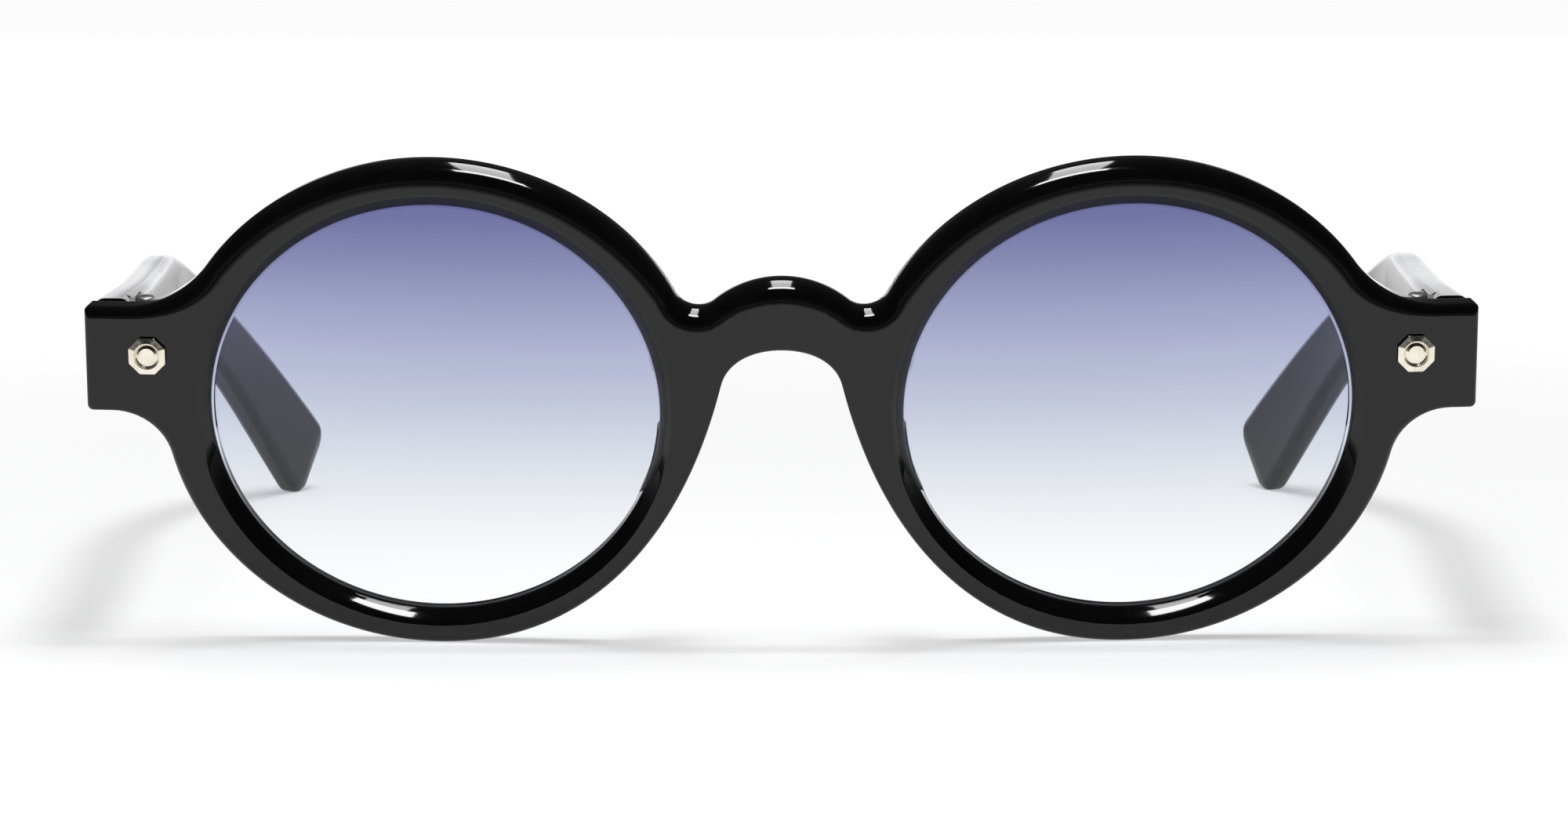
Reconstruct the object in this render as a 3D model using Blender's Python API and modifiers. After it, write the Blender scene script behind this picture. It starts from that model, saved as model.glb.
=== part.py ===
"""Round acetate sunglasses: a bent front, two lenses, riveted five-barrel hinges and wire-cored temples.

The front is laid out flat, with s along it from the middle of the bridge, y through its thickness from the
front face backwards and z up from the middle of the lenses. It is then bent at the bridge.
The whole stands as it does on a table: on its lower rims and its temple tips, with the front towards -Y.
"""

import math

import bmesh
import bpy
from mathutils import Matrix, Vector

MM = 0.001

# Lenses and rims
BRIDGE_HALF_WIDTH = 12.6 * MM
OPENING_HALF_WIDTH = 23.2 * MM
OPENING_HALF_HEIGHT = 21.4 * MM
RIM_WIDTH_TOP = 4.65 * MM
RIM_WIDTH_BOTTOM = 3.4 * MM
RIM_WIDTH_SIDE = 4.85 * MM
FRONT_THICKNESS = 4.0 * MM
LENS_CENTRE = BRIDGE_HALF_WIDTH + OPENING_HALF_WIDTH
OPENING_SIDE = LENS_CENTRE + OPENING_HALF_WIDTH

# Bridge, from its top arch to the space for the nose
BRIDGE_TOP = 14.2 * MM
BRIDGE_ARCH_RADIUS = 11.5 * MM
BRIDGE_VALLEY_RADIUS = 2.6 * MM
NOSE_TOP = 7.0 * MM
NOSE_TOP_REACH = 3.3 * MM
NOSE_CORNER_HALF_WIDTH = 6.2 * MM
NOSE_CORNER_HEIGHT = 3.2 * MM
NOSE_CORNER_REACH = 2.4 * MM
NOSE_SIDE_REACH = 16.7 * MM
NOSE_SIDE_ANGLE = math.radians(14.0)
NOSE_FOOT_REACH = 12.0 * MM
NOSE_FOOT_ANGLE = math.radians(-99.0)

# End pieces that carry the hinges, with their reach beyond the lens opening
END_PIECE_REACH = 12.7 * MM
END_PIECE_SIDE = OPENING_SIDE + END_PIECE_REACH
END_PIECE_TOP = 10.3 * MM
END_PIECE_BOTTOM = -0.6 * MM
END_FILLET_TOP = 10.5 * MM
END_FILLET_BOTTOM = 6.2 * MM
END_CORNER_TOP = 0.35 * MM
END_CORNER_BOTTOM = 0.6 * MM

# Rounding of the front's edges
EDGE_RIM = 1.5 * MM
EDGE_RIM_BOTTOM = 1.1 * MM
EDGE_END_TOP = 0.8 * MM
EDGE_END_SIDE = 0.6 * MM
EDGE_NOSE = 0.6 * MM
EDGE_BACK = 0.5 * MM
OPENING_ROUND_WIDTH = 1.7 * MM
OPENING_ROUND_DEPTH = 1.45 * MM
OPENING_BACK_CHAMFER = 0.3 * MM

# Bend of the front at the bridge
WRAP_ANGLE = math.radians(5.0)
WRAP_LENGTH = 12.0 * MM

# Lens and its groove
GROOVE_PLACE = 2.45 * MM
GROOVE_HALF_WIDTH = 0.9 * MM
GROOVE_DEPTH = 0.8 * MM
LENS_GAP = 0.25 * MM
LENS_EDGE_HALF_WIDTH = 0.85 * MM
LENS_CURVE_RADIUS = 175.0 * MM

# Rivets: an octagonal head with a groove round a centre boss, and a shank
RIVET_REACH = 6.2 * MM
RIVET_PLACE = OPENING_SIDE + RIVET_REACH
RIVET_HEIGHT = 5.4 * MM
RIVET_ACROSS_FLATS = 3.8 * MM
RIVET_BEVEL = 0.45 * MM
RIVET_HEAD_THICKNESS = 0.9 * MM
RIVET_PROUD = 0.55 * MM
RIVET_GROOVE_RADIUS = 1.15 * MM
RIVET_GROOVE_WIDTH = 0.3 * MM
RIVET_GROOVE_DEPTH = 0.35 * MM
RIVET_SHANK_RADIUS = 0.6 * MM
RIVET_GAP = 0.15 * MM

# Hinges
HINGE_REACH = 7.5 * MM
HINGE_PLACE = OPENING_SIDE + HINGE_REACH
HINGE_STANDOFF = 1.9 * MM
KNUCKLE_RADIUS = 1.4 * MM
KNUCKLE_PITCH = 1.7 * MM
KNUCKLE_GAP = 0.2 * MM
LEAF_THICKNESS = 0.9 * MM
LEAF_GAP = 0.15 * MM
FRONT_LEAF_LENGTH = 6.0 * MM
FRONT_LEAF_HALF_HEIGHT = 4.1 * MM
TEMPLE_LEAF_START = 1.3 * MM
TEMPLE_LEAF_LENGTH = 7.7 * MM
TEMPLE_LEAF_HALF_HEIGHT = 4.1 * MM
NECK_EDGE = 0.35 * MM
SCREW_RADIUS = 0.65 * MM
SCREW_GAP = 0.12 * MM
SCREW_HEAD_RADIUS = 1.0 * MM
SCREW_HEAD_HEIGHT = 0.6 * MM
SCREW_SLOT_WIDTH = 0.3 * MM
SCREW_SLOT_DEPTH = 0.3 * MM

# Temples
TEMPLE_LENGTH = 140.0 * MM
TEMPLE_OFFSET = 1.2 * MM
TEMPLE_THICKNESS = 4.0 * MM
TEMPLE_TIP_THICKNESS = 3.4 * MM
TEMPLE_BUTT_GAP = 0.2 * MM
TEMPLE_HEIGHT = 10.9 * MM
TEMPLE_MID_HEIGHT = 8.1 * MM
TEMPLE_MID_PLACE = 60.0 * MM
TEMPLE_BEND_HEIGHT = 7.2 * MM
TEMPLE_BEND_PLACE = 97.0 * MM
TEMPLE_TIP_HEIGHT = 9.6 * MM
TEMPLE_EDGE = 1.2 * MM
TEMPLE_TIP_ROUND = 2.6 * MM
TIP_SLANT = 0.21
TIP_SLANT_LENGTH = 15.0 * MM
TEMPLE_SLOPE = math.radians(8.2)
BEND_START = 49.0 * MM
BEND_LENGTH = 97.0 * MM
BEND_ANGLE = math.radians(41.8)
SPLAY_START = 9.5 * MM
SPLAY_LENGTH = 19.5 * MM
SPLAY_ANGLE = math.radians(3.4)
INWARD_START = 69.5 * MM
INWARD_ANGLE = math.radians(32.8)
TEMPLE_RIVET_PLACE = 5.9 * MM

# Core wire of a temple, in its channel
WIRE_RADIUS = 0.6 * MM
WIRE_GAP = 0.25 * MM
WIRE_DROP = 2.0 * MM
WIRE_DROP_END = 30.0 * MM
WIRE_SHIFT = 0.25 * MM
WIRE_END = 116.0 * MM

# Nose pads
PAD_DEPTH = 4.6 * MM
PAD_WIDTH = 3.0 * MM
PAD_GAP = 0.2 * MM
PAD_INSET = 0.5 * MM
PAD_LEAN = 1.7 * MM
PAD_START_SHARE = 0.02
PAD_END_SHARE = 0.42
PAD_FULL_SHARE = 0.9
PAD_THIN_SHARE = 0.6
# Shares of a pad's width and depth, round half of its section
PAD_SECTION_SHARES = ((0.0, 0.0), (0.02, 0.45), (0.12, 0.8), (0.38, 1.0), (0.68, 0.9), (0.9, 0.6), (1.0, 0.0))

# How far a cut runs past what it cuts, and the distance at which two points are one
OVERRUN = 1.0 * MM
SAME_POINT = 0.01 * MM

# Counts of points, and angles of shading and of the smallest step round a rim
OUTER_ROUND_STEPS = 3
BACK_ROUND_STEPS = 2
ARC_STEPS = 7
CORNER_STEPS = 4
RIM_STEPS = 22
OPENING_STEPS = 60
LENS_STEPS = 60
LENS_RINGS = 5
RIVET_SIDES = 8
BARREL_SIDES = 24
KNUCKLE_COUNT = 5
TEMPLE_STATIONS = 38
TEMPLE_TIP_STEPS = 5
SECTION_CORNER_STEPS = 3
PATH_STEPS = 560
WIRE_POINTS = 26
PAD_STATIONS = 10
NOSE_STEPS = 12
ROOT_STEPS = 60
SECTION_CORNER_SHARE = 0.9
SHARP_ANGLE = math.radians(35.0)
SMALL_ANGLE = math.radians(0.5)
NECK_TURN = math.radians(15.0)


def clear_scene():
    for item in list(bpy.data.objects):
        bpy.data.objects.remove(item, do_unlink=True)


def new_collection(name):
    collection = bpy.data.collections.new(name)
    bpy.context.scene.collection.children.link(collection)
    return collection


def new_material(name, colour, roughness, metallic=0.0, transmission=0.0):
    material = bpy.data.materials.new(name)
    material.use_nodes = True
    shader = material.node_tree.nodes["Principled BSDF"]
    shader.inputs["Base Color"].default_value = (*colour, 1.0)
    shader.inputs["Roughness"].default_value = roughness
    shader.inputs["Metallic"].default_value = metallic
    shader.inputs["Transmission Weight"].default_value = transmission
    material.diffuse_color = (*colour, 1.0)
    return material


def new_empty(name, parent, location=(0.0, 0.0, 0.0), turn=0.0):
    empty = bpy.data.objects.new(name, None)
    PIECES.objects.link(empty)
    empty.parent = parent
    empty.location = location
    empty.rotation_euler = (0.0, 0.0, turn)
    return empty


def new_piece(name, bm, parent, material, matrix=None):
    mesh = bpy.data.meshes.new(name)
    bm.to_mesh(mesh)
    bm.free()
    piece = bpy.data.objects.new(name, mesh)
    PIECES.objects.link(piece)
    piece.parent = parent
    if matrix is not None:
        piece.matrix_local = matrix
    mesh.materials.append(material)
    mesh.shade_smooth()
    mesh.set_sharp_from_angle(angle=SHARP_ANGLE)
    return piece


def new_cutter(name, bm, parent, matrix=None):
    mesh = bpy.data.meshes.new(name)
    bm.to_mesh(mesh)
    bm.free()
    cutter = bpy.data.objects.new(name, mesh)
    CUTTERS.objects.link(cutter)
    cutter.parent = parent
    if matrix is not None:
        cutter.matrix_local = matrix
    cutter.hide_render = True
    cutter.display_type = "WIRE"
    return cutter


def combine(piece, tool, operation):
    modifier = piece.modifiers.new(tool.name, "BOOLEAN")
    modifier.object = tool
    modifier.operation = operation
    modifier.solver = "EXACT"


def add_box(bm, low, high, turn=None):
    """A box from its lowest to its highest corner, turned about the origin afterwards."""
    low, high = Vector(low), Vector(high)
    matrix = Matrix.Translation((low + high) / 2) @ Matrix.Diagonal((*(high - low), 1.0))
    if turn is not None:
        matrix = turn @ matrix
    bmesh.ops.create_cube(bm, size=1.0, matrix=matrix)


def add_cylinder(bm, radius, start, end, sides=BARREL_SIDES):
    """A cylinder, or a prism with few sides that stands on a flat, from start to end."""
    start, end = Vector(start), Vector(end)
    axis = end - start
    turn = axis.to_track_quat("Z", "Y").to_matrix().to_4x4() @ Matrix.Rotation(math.pi / sides, 4, "Z")
    matrix = Matrix.Translation((start + end) / 2) @ turn
    bmesh.ops.create_cone(
        bm, cap_ends=True, segments=sides, radius1=radius, radius2=radius, depth=axis.length, matrix=matrix
    )


def add_curve(bm, curve, points, shift=(0.0, 0.0, 0.0), closed=False):
    """The solid of a curve through the points, made a mesh with its caps welded, and moved by the shift."""
    spline = curve.splines.new("POLY")
    spline.points.add(len(points) - 1)
    for target, point in zip(spline.points, points):
        target.co = (*Vector(point).to_3d(), 1.0)
    spline.use_cyclic_u = closed
    guide = bpy.data.objects.new(curve.name, curve)
    CUTTERS.objects.link(guide)
    bpy.context.view_layer.update()
    mesh = bpy.data.meshes.new_from_object(guide.evaluated_get(bpy.context.evaluated_depsgraph_get()))
    bpy.data.objects.remove(guide, do_unlink=True)
    mesh.transform(Matrix.Translation(shift))
    bm.from_mesh(mesh)
    bmesh.ops.remove_doubles(bm, verts=bm.verts, dist=SAME_POINT)
    bmesh.ops.recalc_face_normals(bm, faces=bm.faces)


def add_prism(bm, outline, low, high):
    """An upright prism over a flat outline."""
    curve = bpy.data.curves.new("outline", "CURVE")
    curve.dimensions = "2D"
    curve.fill_mode = "BOTH"
    curve.extrude = (high - low) / 2
    add_curve(bm, curve, outline, (0.0, 0.0, (low + high) / 2), closed=True)


def add_tube(bm, points, radius):
    """A round tube along the points."""
    curve = bpy.data.curves.new("tube", "CURVE")
    curve.dimensions = "3D"
    curve.bevel_depth = radius
    curve.bevel_resolution = 2
    curve.use_fill_caps = True
    add_curve(bm, curve, points)


def loft(bm, rings, closed=True, capped=True):
    """Quads between rings of equal length, closed on themselves, with a cap on the first and the last."""
    rows = [[bm.verts.new(point) for point in ring] for ring in rings]
    count = len(rows[0])
    for low, high in zip(rows, rows[1:]):
        for k in range(count if closed else count - 1):
            n = (k + 1) % count
            bm.faces.new((low[k], low[n], high[n], high[k]))
    if capped:
        bm.faces.new(rows[0][::-1])
        bm.faces.new(rows[-1])
    return rows


def arc_points(centre, radius, start, end, steps):
    """Points on a circle about centre, both ends included."""
    angles = [start + (end - start) * k / steps for k in range(steps + 1)]
    return [Vector((centre[0] + radius * math.cos(a), centre[1] + radius * math.sin(a))) for a in angles]


def bezier_points(p0, p1, p2, p3, steps):
    points = []
    for k in range(steps + 1):
        t = k / steps
        u = 1.0 - t
        points.append(p0 * u**3 + p1 * (3 * u * u * t) + p2 * (3 * u * t * t) + p3 * t**3)
    return points


def find_root(function, low, high):
    """The place between low and high where the function changes sign."""
    positive_low = function(low) > 0.0
    for _ in range(ROOT_STEPS):
        middle = (low + high) / 2
        if (function(middle) > 0.0) == positive_low:
            low = middle
        else:
            high = middle
    return (low + high) / 2


def rim_point(angle, inset=0.0):
    """A point of the rim's outer edge, an ellipse, or one at an inset within it."""
    half_width = OPENING_HALF_WIDTH + RIM_WIDTH_SIDE
    half_height = OPENING_HALF_HEIGHT + (RIM_WIDTH_TOP + RIM_WIDTH_BOTTOM) / 2
    centre = Vector((LENS_CENTRE, (RIM_WIDTH_TOP - RIM_WIDTH_BOTTOM) / 2))
    point = centre + Vector((half_width * math.cos(angle), half_height * math.sin(angle)))
    normal = Vector((half_height * math.cos(angle), half_width * math.sin(angle))).normalized()
    return point - normal * inset


def heading(vector):
    return math.atan2(vector.y, vector.x)


def front_outline():
    """Half of the front's outline, from the top of the bridge clockwise to its underside.

    Each entry is a point and the radius of the front edge there.
    """
    outline = []

    def add(points, edge_start, edge_end):
        last = len(points) - 1
        for k, point in enumerate(points):
            if outline and (outline[-1][0] - point).length < SAME_POINT:
                continue
            outline.append((point, edge_start + (edge_end - edge_start) * k / last))

    # The bridge's top arch, and the valley between it and the rim
    arch_centre = Vector((0.0, BRIDGE_TOP - BRIDGE_ARCH_RADIUS))
    reach = BRIDGE_ARCH_RADIUS + BRIDGE_VALLEY_RADIUS
    valley_angle = find_root(
        lambda a: (rim_point(a, -BRIDGE_VALLEY_RADIUS) - arch_centre).length - reach, math.pi / 2, math.pi
    )
    valley = rim_point(valley_angle, -BRIDGE_VALLEY_RADIUS)
    arch_end = heading(valley - arch_centre)
    add(arc_points(arch_centre, BRIDGE_ARCH_RADIUS, math.pi / 2, arch_end, ARC_STEPS), EDGE_RIM, EDGE_RIM)
    valley_start = arch_end - math.pi
    valley_end = heading(rim_point(valley_angle) - valley)
    add(arc_points(valley, BRIDGE_VALLEY_RADIUS, valley_start, valley_end, CORNER_STEPS), EDGE_RIM, EDGE_RIM)

    # Over the rim to the end piece
    top_angle = find_root(
        lambda a: rim_point(a, -END_FILLET_TOP).y - END_PIECE_TOP - END_FILLET_TOP, 0.0, math.pi / 2
    )
    add(rim_points(valley_angle, top_angle, RIM_STEPS), EDGE_RIM, EDGE_RIM)
    fillet = rim_point(top_angle, -END_FILLET_TOP)
    start = heading(rim_point(top_angle) - fillet)
    add(arc_points(fillet, END_FILLET_TOP, start, -math.pi / 2, ARC_STEPS), EDGE_RIM, EDGE_END_TOP)

    # Round the end piece
    corner = Vector((END_PIECE_SIDE - END_CORNER_TOP, END_PIECE_TOP - END_CORNER_TOP))
    add(arc_points(corner, END_CORNER_TOP, math.pi / 2, 0.0, CORNER_STEPS), EDGE_END_TOP, EDGE_END_SIDE)
    corner = Vector((END_PIECE_SIDE - END_CORNER_BOTTOM, END_PIECE_BOTTOM + END_CORNER_BOTTOM))
    add(arc_points(corner, END_CORNER_BOTTOM, 0.0, -math.pi / 2, CORNER_STEPS), EDGE_END_SIDE, EDGE_END_SIDE)

    # Under the rim to the foot of the nose side
    low_angle = find_root(
        lambda a: rim_point(a, -END_FILLET_BOTTOM).y - END_PIECE_BOTTOM + END_FILLET_BOTTOM, -math.pi / 2, 0.0
    )
    fillet = rim_point(low_angle, -END_FILLET_BOTTOM)
    end = heading(rim_point(low_angle) - fillet)
    add(arc_points(fillet, END_FILLET_BOTTOM, math.pi / 2, end, ARC_STEPS), EDGE_END_SIDE, EDGE_RIM_BOTTOM)
    add(rim_points(low_angle, NOSE_FOOT_ANGLE, RIM_STEPS), EDGE_RIM_BOTTOM, EDGE_RIM_BOTTOM)
    side, arch = nose_curves()
    add(side[::-1], EDGE_RIM_BOTTOM, EDGE_NOSE)
    add(arch[::-1], EDGE_NOSE, EDGE_NOSE)
    return outline


def rim_points(start, end, steps):
    return [rim_point(start + (end - start) * k / steps) for k in range(steps + 1)]


def nose_curves(steps=NOSE_STEPS):
    """The side of the nose space, from its corner to the rim, and its arch, from the middle to the corner."""
    corner = Vector((NOSE_CORNER_HALF_WIDTH, NOSE_CORNER_HEIGHT))
    down = Vector((math.sin(NOSE_SIDE_ANGLE), -math.cos(NOSE_SIDE_ANGLE)))
    foot = rim_point(NOSE_FOOT_ANGLE)
    along = (rim_point(NOSE_FOOT_ANGLE + SMALL_ANGLE) - foot).normalized()
    side = bezier_points(corner, corner + down * NOSE_SIDE_REACH, foot - along * NOSE_FOOT_REACH, foot, steps)
    top = Vector((0.0, NOSE_TOP))
    beside_top = Vector((NOSE_TOP_REACH, NOSE_TOP))
    arch = bezier_points(top, beside_top, corner - down * NOSE_CORNER_REACH, corner, steps // 2 + 1)
    return side, arch


def inward_normals(points):
    """The direction into the material at each point of a clockwise half outline that ends at x = 0."""
    chain = [Vector((-points[1].x, points[1].y)), *points, Vector((-points[-2].x, points[-2].y))]
    normals = []
    for before, point, after in zip(chain, chain[1:], chain[2:]):
        forward = (after - point).normalized() + (point - before).normalized()
        normals.append(Vector((forward.y, -forward.x)).normalized())
    return normals


def bend(s, y, z):
    """Where a point of the flat front lies once the bridge is bent."""
    radius = WRAP_LENGTH / WRAP_ANGLE
    angle = min(s, WRAP_LENGTH) / radius
    beyond = max(s - WRAP_LENGTH, 0.0)
    x = radius * math.sin(angle) + beyond * math.cos(angle) - y * math.sin(angle)
    back = radius * (1.0 - math.cos(angle)) + beyond * math.sin(angle) + y * math.cos(angle)
    return Vector((x, back, z))


def outer_profile(edge):
    """Rings of the outer edge from front to back: shares of the front and back insets, and the depth."""
    profile = []
    for k in range(OUTER_ROUND_STEPS + 1):
        angle = math.pi / 2 * k / OUTER_ROUND_STEPS
        profile.append((1.0 - math.sin(angle), 0.0, edge * (1.0 - math.cos(angle))))
    for k in range(BACK_ROUND_STEPS + 1):
        angle = math.pi / 2 * k / BACK_ROUND_STEPS
        depth = FRONT_THICKNESS - EDGE_BACK * (1.0 - math.sin(angle))
        profile.append((0.0, 1.0 - math.cos(angle), depth))
    return profile


def opening_profile():
    """Outward steps and depths of a lens opening's rings, with the groove that holds the lens."""
    profile = []
    for k in range(OUTER_ROUND_STEPS + 1):
        angle = math.pi / 2 * k / OUTER_ROUND_STEPS
        step = OPENING_ROUND_WIDTH * (1.0 - math.sin(angle))
        profile.append((step, OPENING_ROUND_DEPTH * (1.0 - math.cos(angle))))
    profile.append((0.0, GROOVE_PLACE - GROOVE_HALF_WIDTH))
    profile.append((GROOVE_DEPTH, GROOVE_PLACE))
    profile.append((0.0, GROOVE_PLACE + GROOVE_HALF_WIDTH))
    profile.append((0.0, FRONT_THICKNESS - OPENING_BACK_CHAMFER))
    profile.append((OPENING_BACK_CHAMFER, FRONT_THICKNESS))
    return profile


def edge_steps(outline):
    """How far each outline point moves in to the edge of the front face, and of the back face.

    A corner of the end piece moves in from both of its sides at once, so it keeps its radius.
    """
    steps = []
    middle = (END_PIECE_TOP + END_PIECE_BOTTOM) / 2
    for (point, edge), normal in zip(outline, inward_normals([point for point, _ in outline])):
        front_step, back_step = normal * edge, normal * EDGE_BACK
        if point.y > middle and point.x > END_PIECE_SIDE - END_CORNER_TOP - SAME_POINT:
            front_step, back_step = Vector((-EDGE_END_SIDE, -EDGE_END_TOP)), Vector((-EDGE_BACK, -EDGE_BACK))
        if point.y < middle and point.x > END_PIECE_SIDE - END_CORNER_BOTTOM - SAME_POINT:
            front_step, back_step = Vector((-EDGE_END_SIDE, EDGE_END_SIDE)), Vector((-EDGE_BACK, EDGE_BACK))
        steps.append((front_step, back_step))
    return steps


def outer_rings():
    """The outer edge of the flat front's right half, as open rings from the front face to the back face."""
    outline = front_outline()
    steps = edge_steps(outline)
    profiles = [outer_profile(edge) for _, edge in outline]
    rings = []
    for k in range(len(profiles[0])):
        ring = []
        for (point, _), (front_step, back_step), profile in zip(outline, steps, profiles):
            front_share, back_share, depth = profile[k]
            place = point + front_step * front_share + back_step * back_share
            ring.append((place.x, depth, place.y))
        rings.append(ring)
    return rings


def opening_rings():
    """The wall of the right lens opening, as closed rings from the front face to the back face."""
    rings = []
    for step, depth in opening_profile():
        ring = []
        for k in range(OPENING_STEPS):
            angle = 2 * math.pi * k / OPENING_STEPS
            across = Vector((OPENING_HALF_WIDTH * math.cos(angle), OPENING_HALF_HEIGHT * math.sin(angle)))
            slope = Vector((across.x / OPENING_HALF_WIDTH**2, across.y / OPENING_HALF_HEIGHT**2))
            place = across + slope.normalized() * step
            ring.append((LENS_CENTRE + place.x, depth, place.y))
        rings.append(ring)
    return rings


def make_front():
    """The front, lofted because the radius of its edges changes along the outline.

    It is half a front, open at the middle plane, which a Mirror modifier completes.
    """
    bm = bmesh.new()
    outer = loft(bm, outer_rings(), closed=False, capped=False)
    inner = loft(bm, opening_rings(), capped=False)
    for edge_row, opening_row in ((outer[0], inner[0]), (outer[-1], inner[-1])):
        edges = [bm.edges.get(pair) for pair in zip(edge_row, edge_row[1:])]
        edges += [bm.edges.get(pair) for pair in zip(opening_row, opening_row[1:] + opening_row[:1])]
        edges.append(bm.edges.new((edge_row[-1], edge_row[0])))
        bmesh.ops.triangle_fill(bm, use_beauty=True, use_dissolve=False, edges=edges)
    for vert in bm.verts:
        vert.co = bend(*vert.co)
    bmesh.ops.recalc_face_normals(bm, faces=bm.faces)
    front = new_piece("front_frame", bm, ROOT, ACETATE)
    mirror = front.modifiers.new("Mirror", "MIRROR")
    mirror.merge_threshold = SAME_POINT
    return front


def make_lens():
    """A lens turned from its profile, then drawn narrower to the height of its opening."""
    overlap = GROOVE_DEPTH - LENS_GAP
    body = OPENING_HALF_WIDTH - LENS_GAP
    edge_sag = LENS_CURVE_RADIUS - math.sqrt(LENS_CURVE_RADIUS**2 - body**2)

    def sag(radius):
        return edge_sag - LENS_CURVE_RADIUS + math.sqrt(LENS_CURVE_RADIUS**2 - radius**2)

    radii = [body * k / LENS_RINGS for k in range(LENS_RINGS + 1)]
    profile = [(radius, sag(radius) + LENS_EDGE_HALF_WIDTH) for radius in radii]
    profile.append((OPENING_HALF_WIDTH + overlap, 0.0))
    profile += [(radius, sag(radius) - LENS_EDGE_HALF_WIDTH) for radius in radii[::-1]]
    bm = bmesh.new()
    verts = [bm.verts.new((radius, 0.0, height)) for radius, height in profile]
    for pair in zip(verts, verts[1:]):
        bm.edges.new(pair)
    turn = Matrix.Rotation(math.pi / 2, 4, "X")
    place = Matrix.Translation((0.0, GROOVE_PLACE, 0.0)) @ turn
    lens = new_piece("lens_right", bm, SIDE, LENS_TINT, place)
    lens.scale.y = OPENING_HALF_HEIGHT / OPENING_HALF_WIDTH
    screw = lens.modifiers.new("Screw", "SCREW")
    screw.steps = LENS_STEPS
    screw.render_steps = LENS_STEPS
    screw.use_merge_vertices = True
    screw.merge_threshold = SAME_POINT
    return lens


def make_rivet(name, parent, matrix, length):
    """A rivet along its own z: its head from zero upwards, its shank of the given length below."""
    bm = bmesh.new()
    corner_radius = RIVET_ACROSS_FLATS / 2 / math.cos(math.pi / RIVET_SIDES)
    add_cylinder(bm, corner_radius, (0.0, 0.0, 0.0), (0.0, 0.0, RIVET_HEAD_THICKNESS), RIVET_SIDES)
    top = [edge for edge in bm.edges if min(vert.co.z for vert in edge.verts) > RIVET_HEAD_THICKNESS / 2]
    bmesh.ops.bevel(bm, geom=top, offset=RIVET_BEVEL, segments=1, affect="EDGES")
    rivet = new_piece(name, bm, parent, GILT, matrix)
    groove = bmesh.new()
    add_cylinder(
        groove,
        RIVET_GROOVE_RADIUS + RIVET_GROOVE_WIDTH / 2,
        (0.0, 0.0, RIVET_HEAD_THICKNESS - RIVET_GROOVE_DEPTH),
        (0.0, 0.0, RIVET_HEAD_THICKNESS + OVERRUN),
    )
    combine(rivet, new_cutter(name + "_groove", groove, parent, matrix), "DIFFERENCE")
    boss = bmesh.new()
    shank_start = RIVET_HEAD_THICKNESS - RIVET_GROOVE_DEPTH / 2
    add_cylinder(boss, RIVET_SHANK_RADIUS, (0.0, 0.0, -length), (0.0, 0.0, shank_start))
    combine(rivet, new_cutter(name + "_shank", boss, parent, matrix), "UNION")
    button = bmesh.new()
    add_cylinder(
        button,
        RIVET_GROOVE_RADIUS - RIVET_GROOVE_WIDTH / 2,
        (0.0, 0.0, RIVET_HEAD_THICKNESS - RIVET_GROOVE_DEPTH * 2),
        (0.0, 0.0, RIVET_HEAD_THICKNESS),
    )
    combine(rivet, new_cutter(name + "_button", button, parent, matrix), "UNION")
    return rivet


def rivet_hole(name, parent, matrix, length):
    """The seat for a rivet's head and the hole for its shank."""
    seat = bmesh.new()
    corner_radius = RIVET_ACROSS_FLATS / 2 / math.cos(math.pi / RIVET_SIDES)
    seat_top = RIVET_HEAD_THICKNESS + OVERRUN
    add_cylinder(seat, corner_radius + RIVET_GAP, (0.0, 0.0, -RIVET_GAP), (0.0, 0.0, seat_top))
    hole = bmesh.new()
    add_cylinder(hole, RIVET_SHANK_RADIUS + RIVET_GAP, (0.0, 0.0, -length - OVERRUN), (0.0, 0.0, RIVET_GAP))
    return [
        new_cutter(name + "_seat", seat, parent, matrix),
        new_cutter(name + "_hole", hole, parent, matrix),
    ]


def knuckle_heights(indices):
    half = (KNUCKLE_PITCH - KNUCKLE_GAP) / 2
    return [(k * KNUCKLE_PITCH - half, k * KNUCKLE_PITCH + half) for k in indices]


def front_neck_outline():
    """A knuckle with its neck, which reaches forwards into the leaf."""
    start = -math.acos(-NECK_EDGE / KNUCKLE_RADIUS)
    outline = arc_points((0, 0), KNUCKLE_RADIUS, start, math.pi, BARREL_SIDES * 3 // 4)
    seat = -HINGE_STANDOFF - LEAF_THICKNESS / 2
    outline += [Vector((-KNUCKLE_RADIUS, seat)), Vector((-NECK_EDGE, seat))]
    return outline


def temple_neck_outline():
    """A knuckle with its neck, which reaches outwards and back into the leaf."""
    start = math.pi / 2 - NECK_TURN
    outline = arc_points((0, 0), KNUCKLE_RADIUS, start, 2 * math.pi - 2 * NECK_TURN, BARREL_SIDES * 3 // 4)
    inner, outer = TEMPLE_OFFSET, TEMPLE_OFFSET + LEAF_THICKNESS
    back = TEMPLE_LEAF_START + LEAF_THICKNESS
    low = outline[-1].y
    outline += [Vector((outer, low)), Vector((outer, back)), Vector((inner, back))]
    return outline


def finish_leaf(leaf, prisms, bores):
    combine(leaf, prisms, "UNION")
    for bore in bores:
        combine(leaf, bore, "DIFFERENCE")


def hinge_bore(name, parent):
    half = KNUCKLE_PITCH * KNUCKLE_COUNT / 2 + OVERRUN
    bore = bmesh.new()
    add_cylinder(bore, SCREW_RADIUS + SCREW_GAP, (0.0, 0.0, -half), (0.0, 0.0, half))
    return new_cutter(name, bore, parent)


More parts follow.
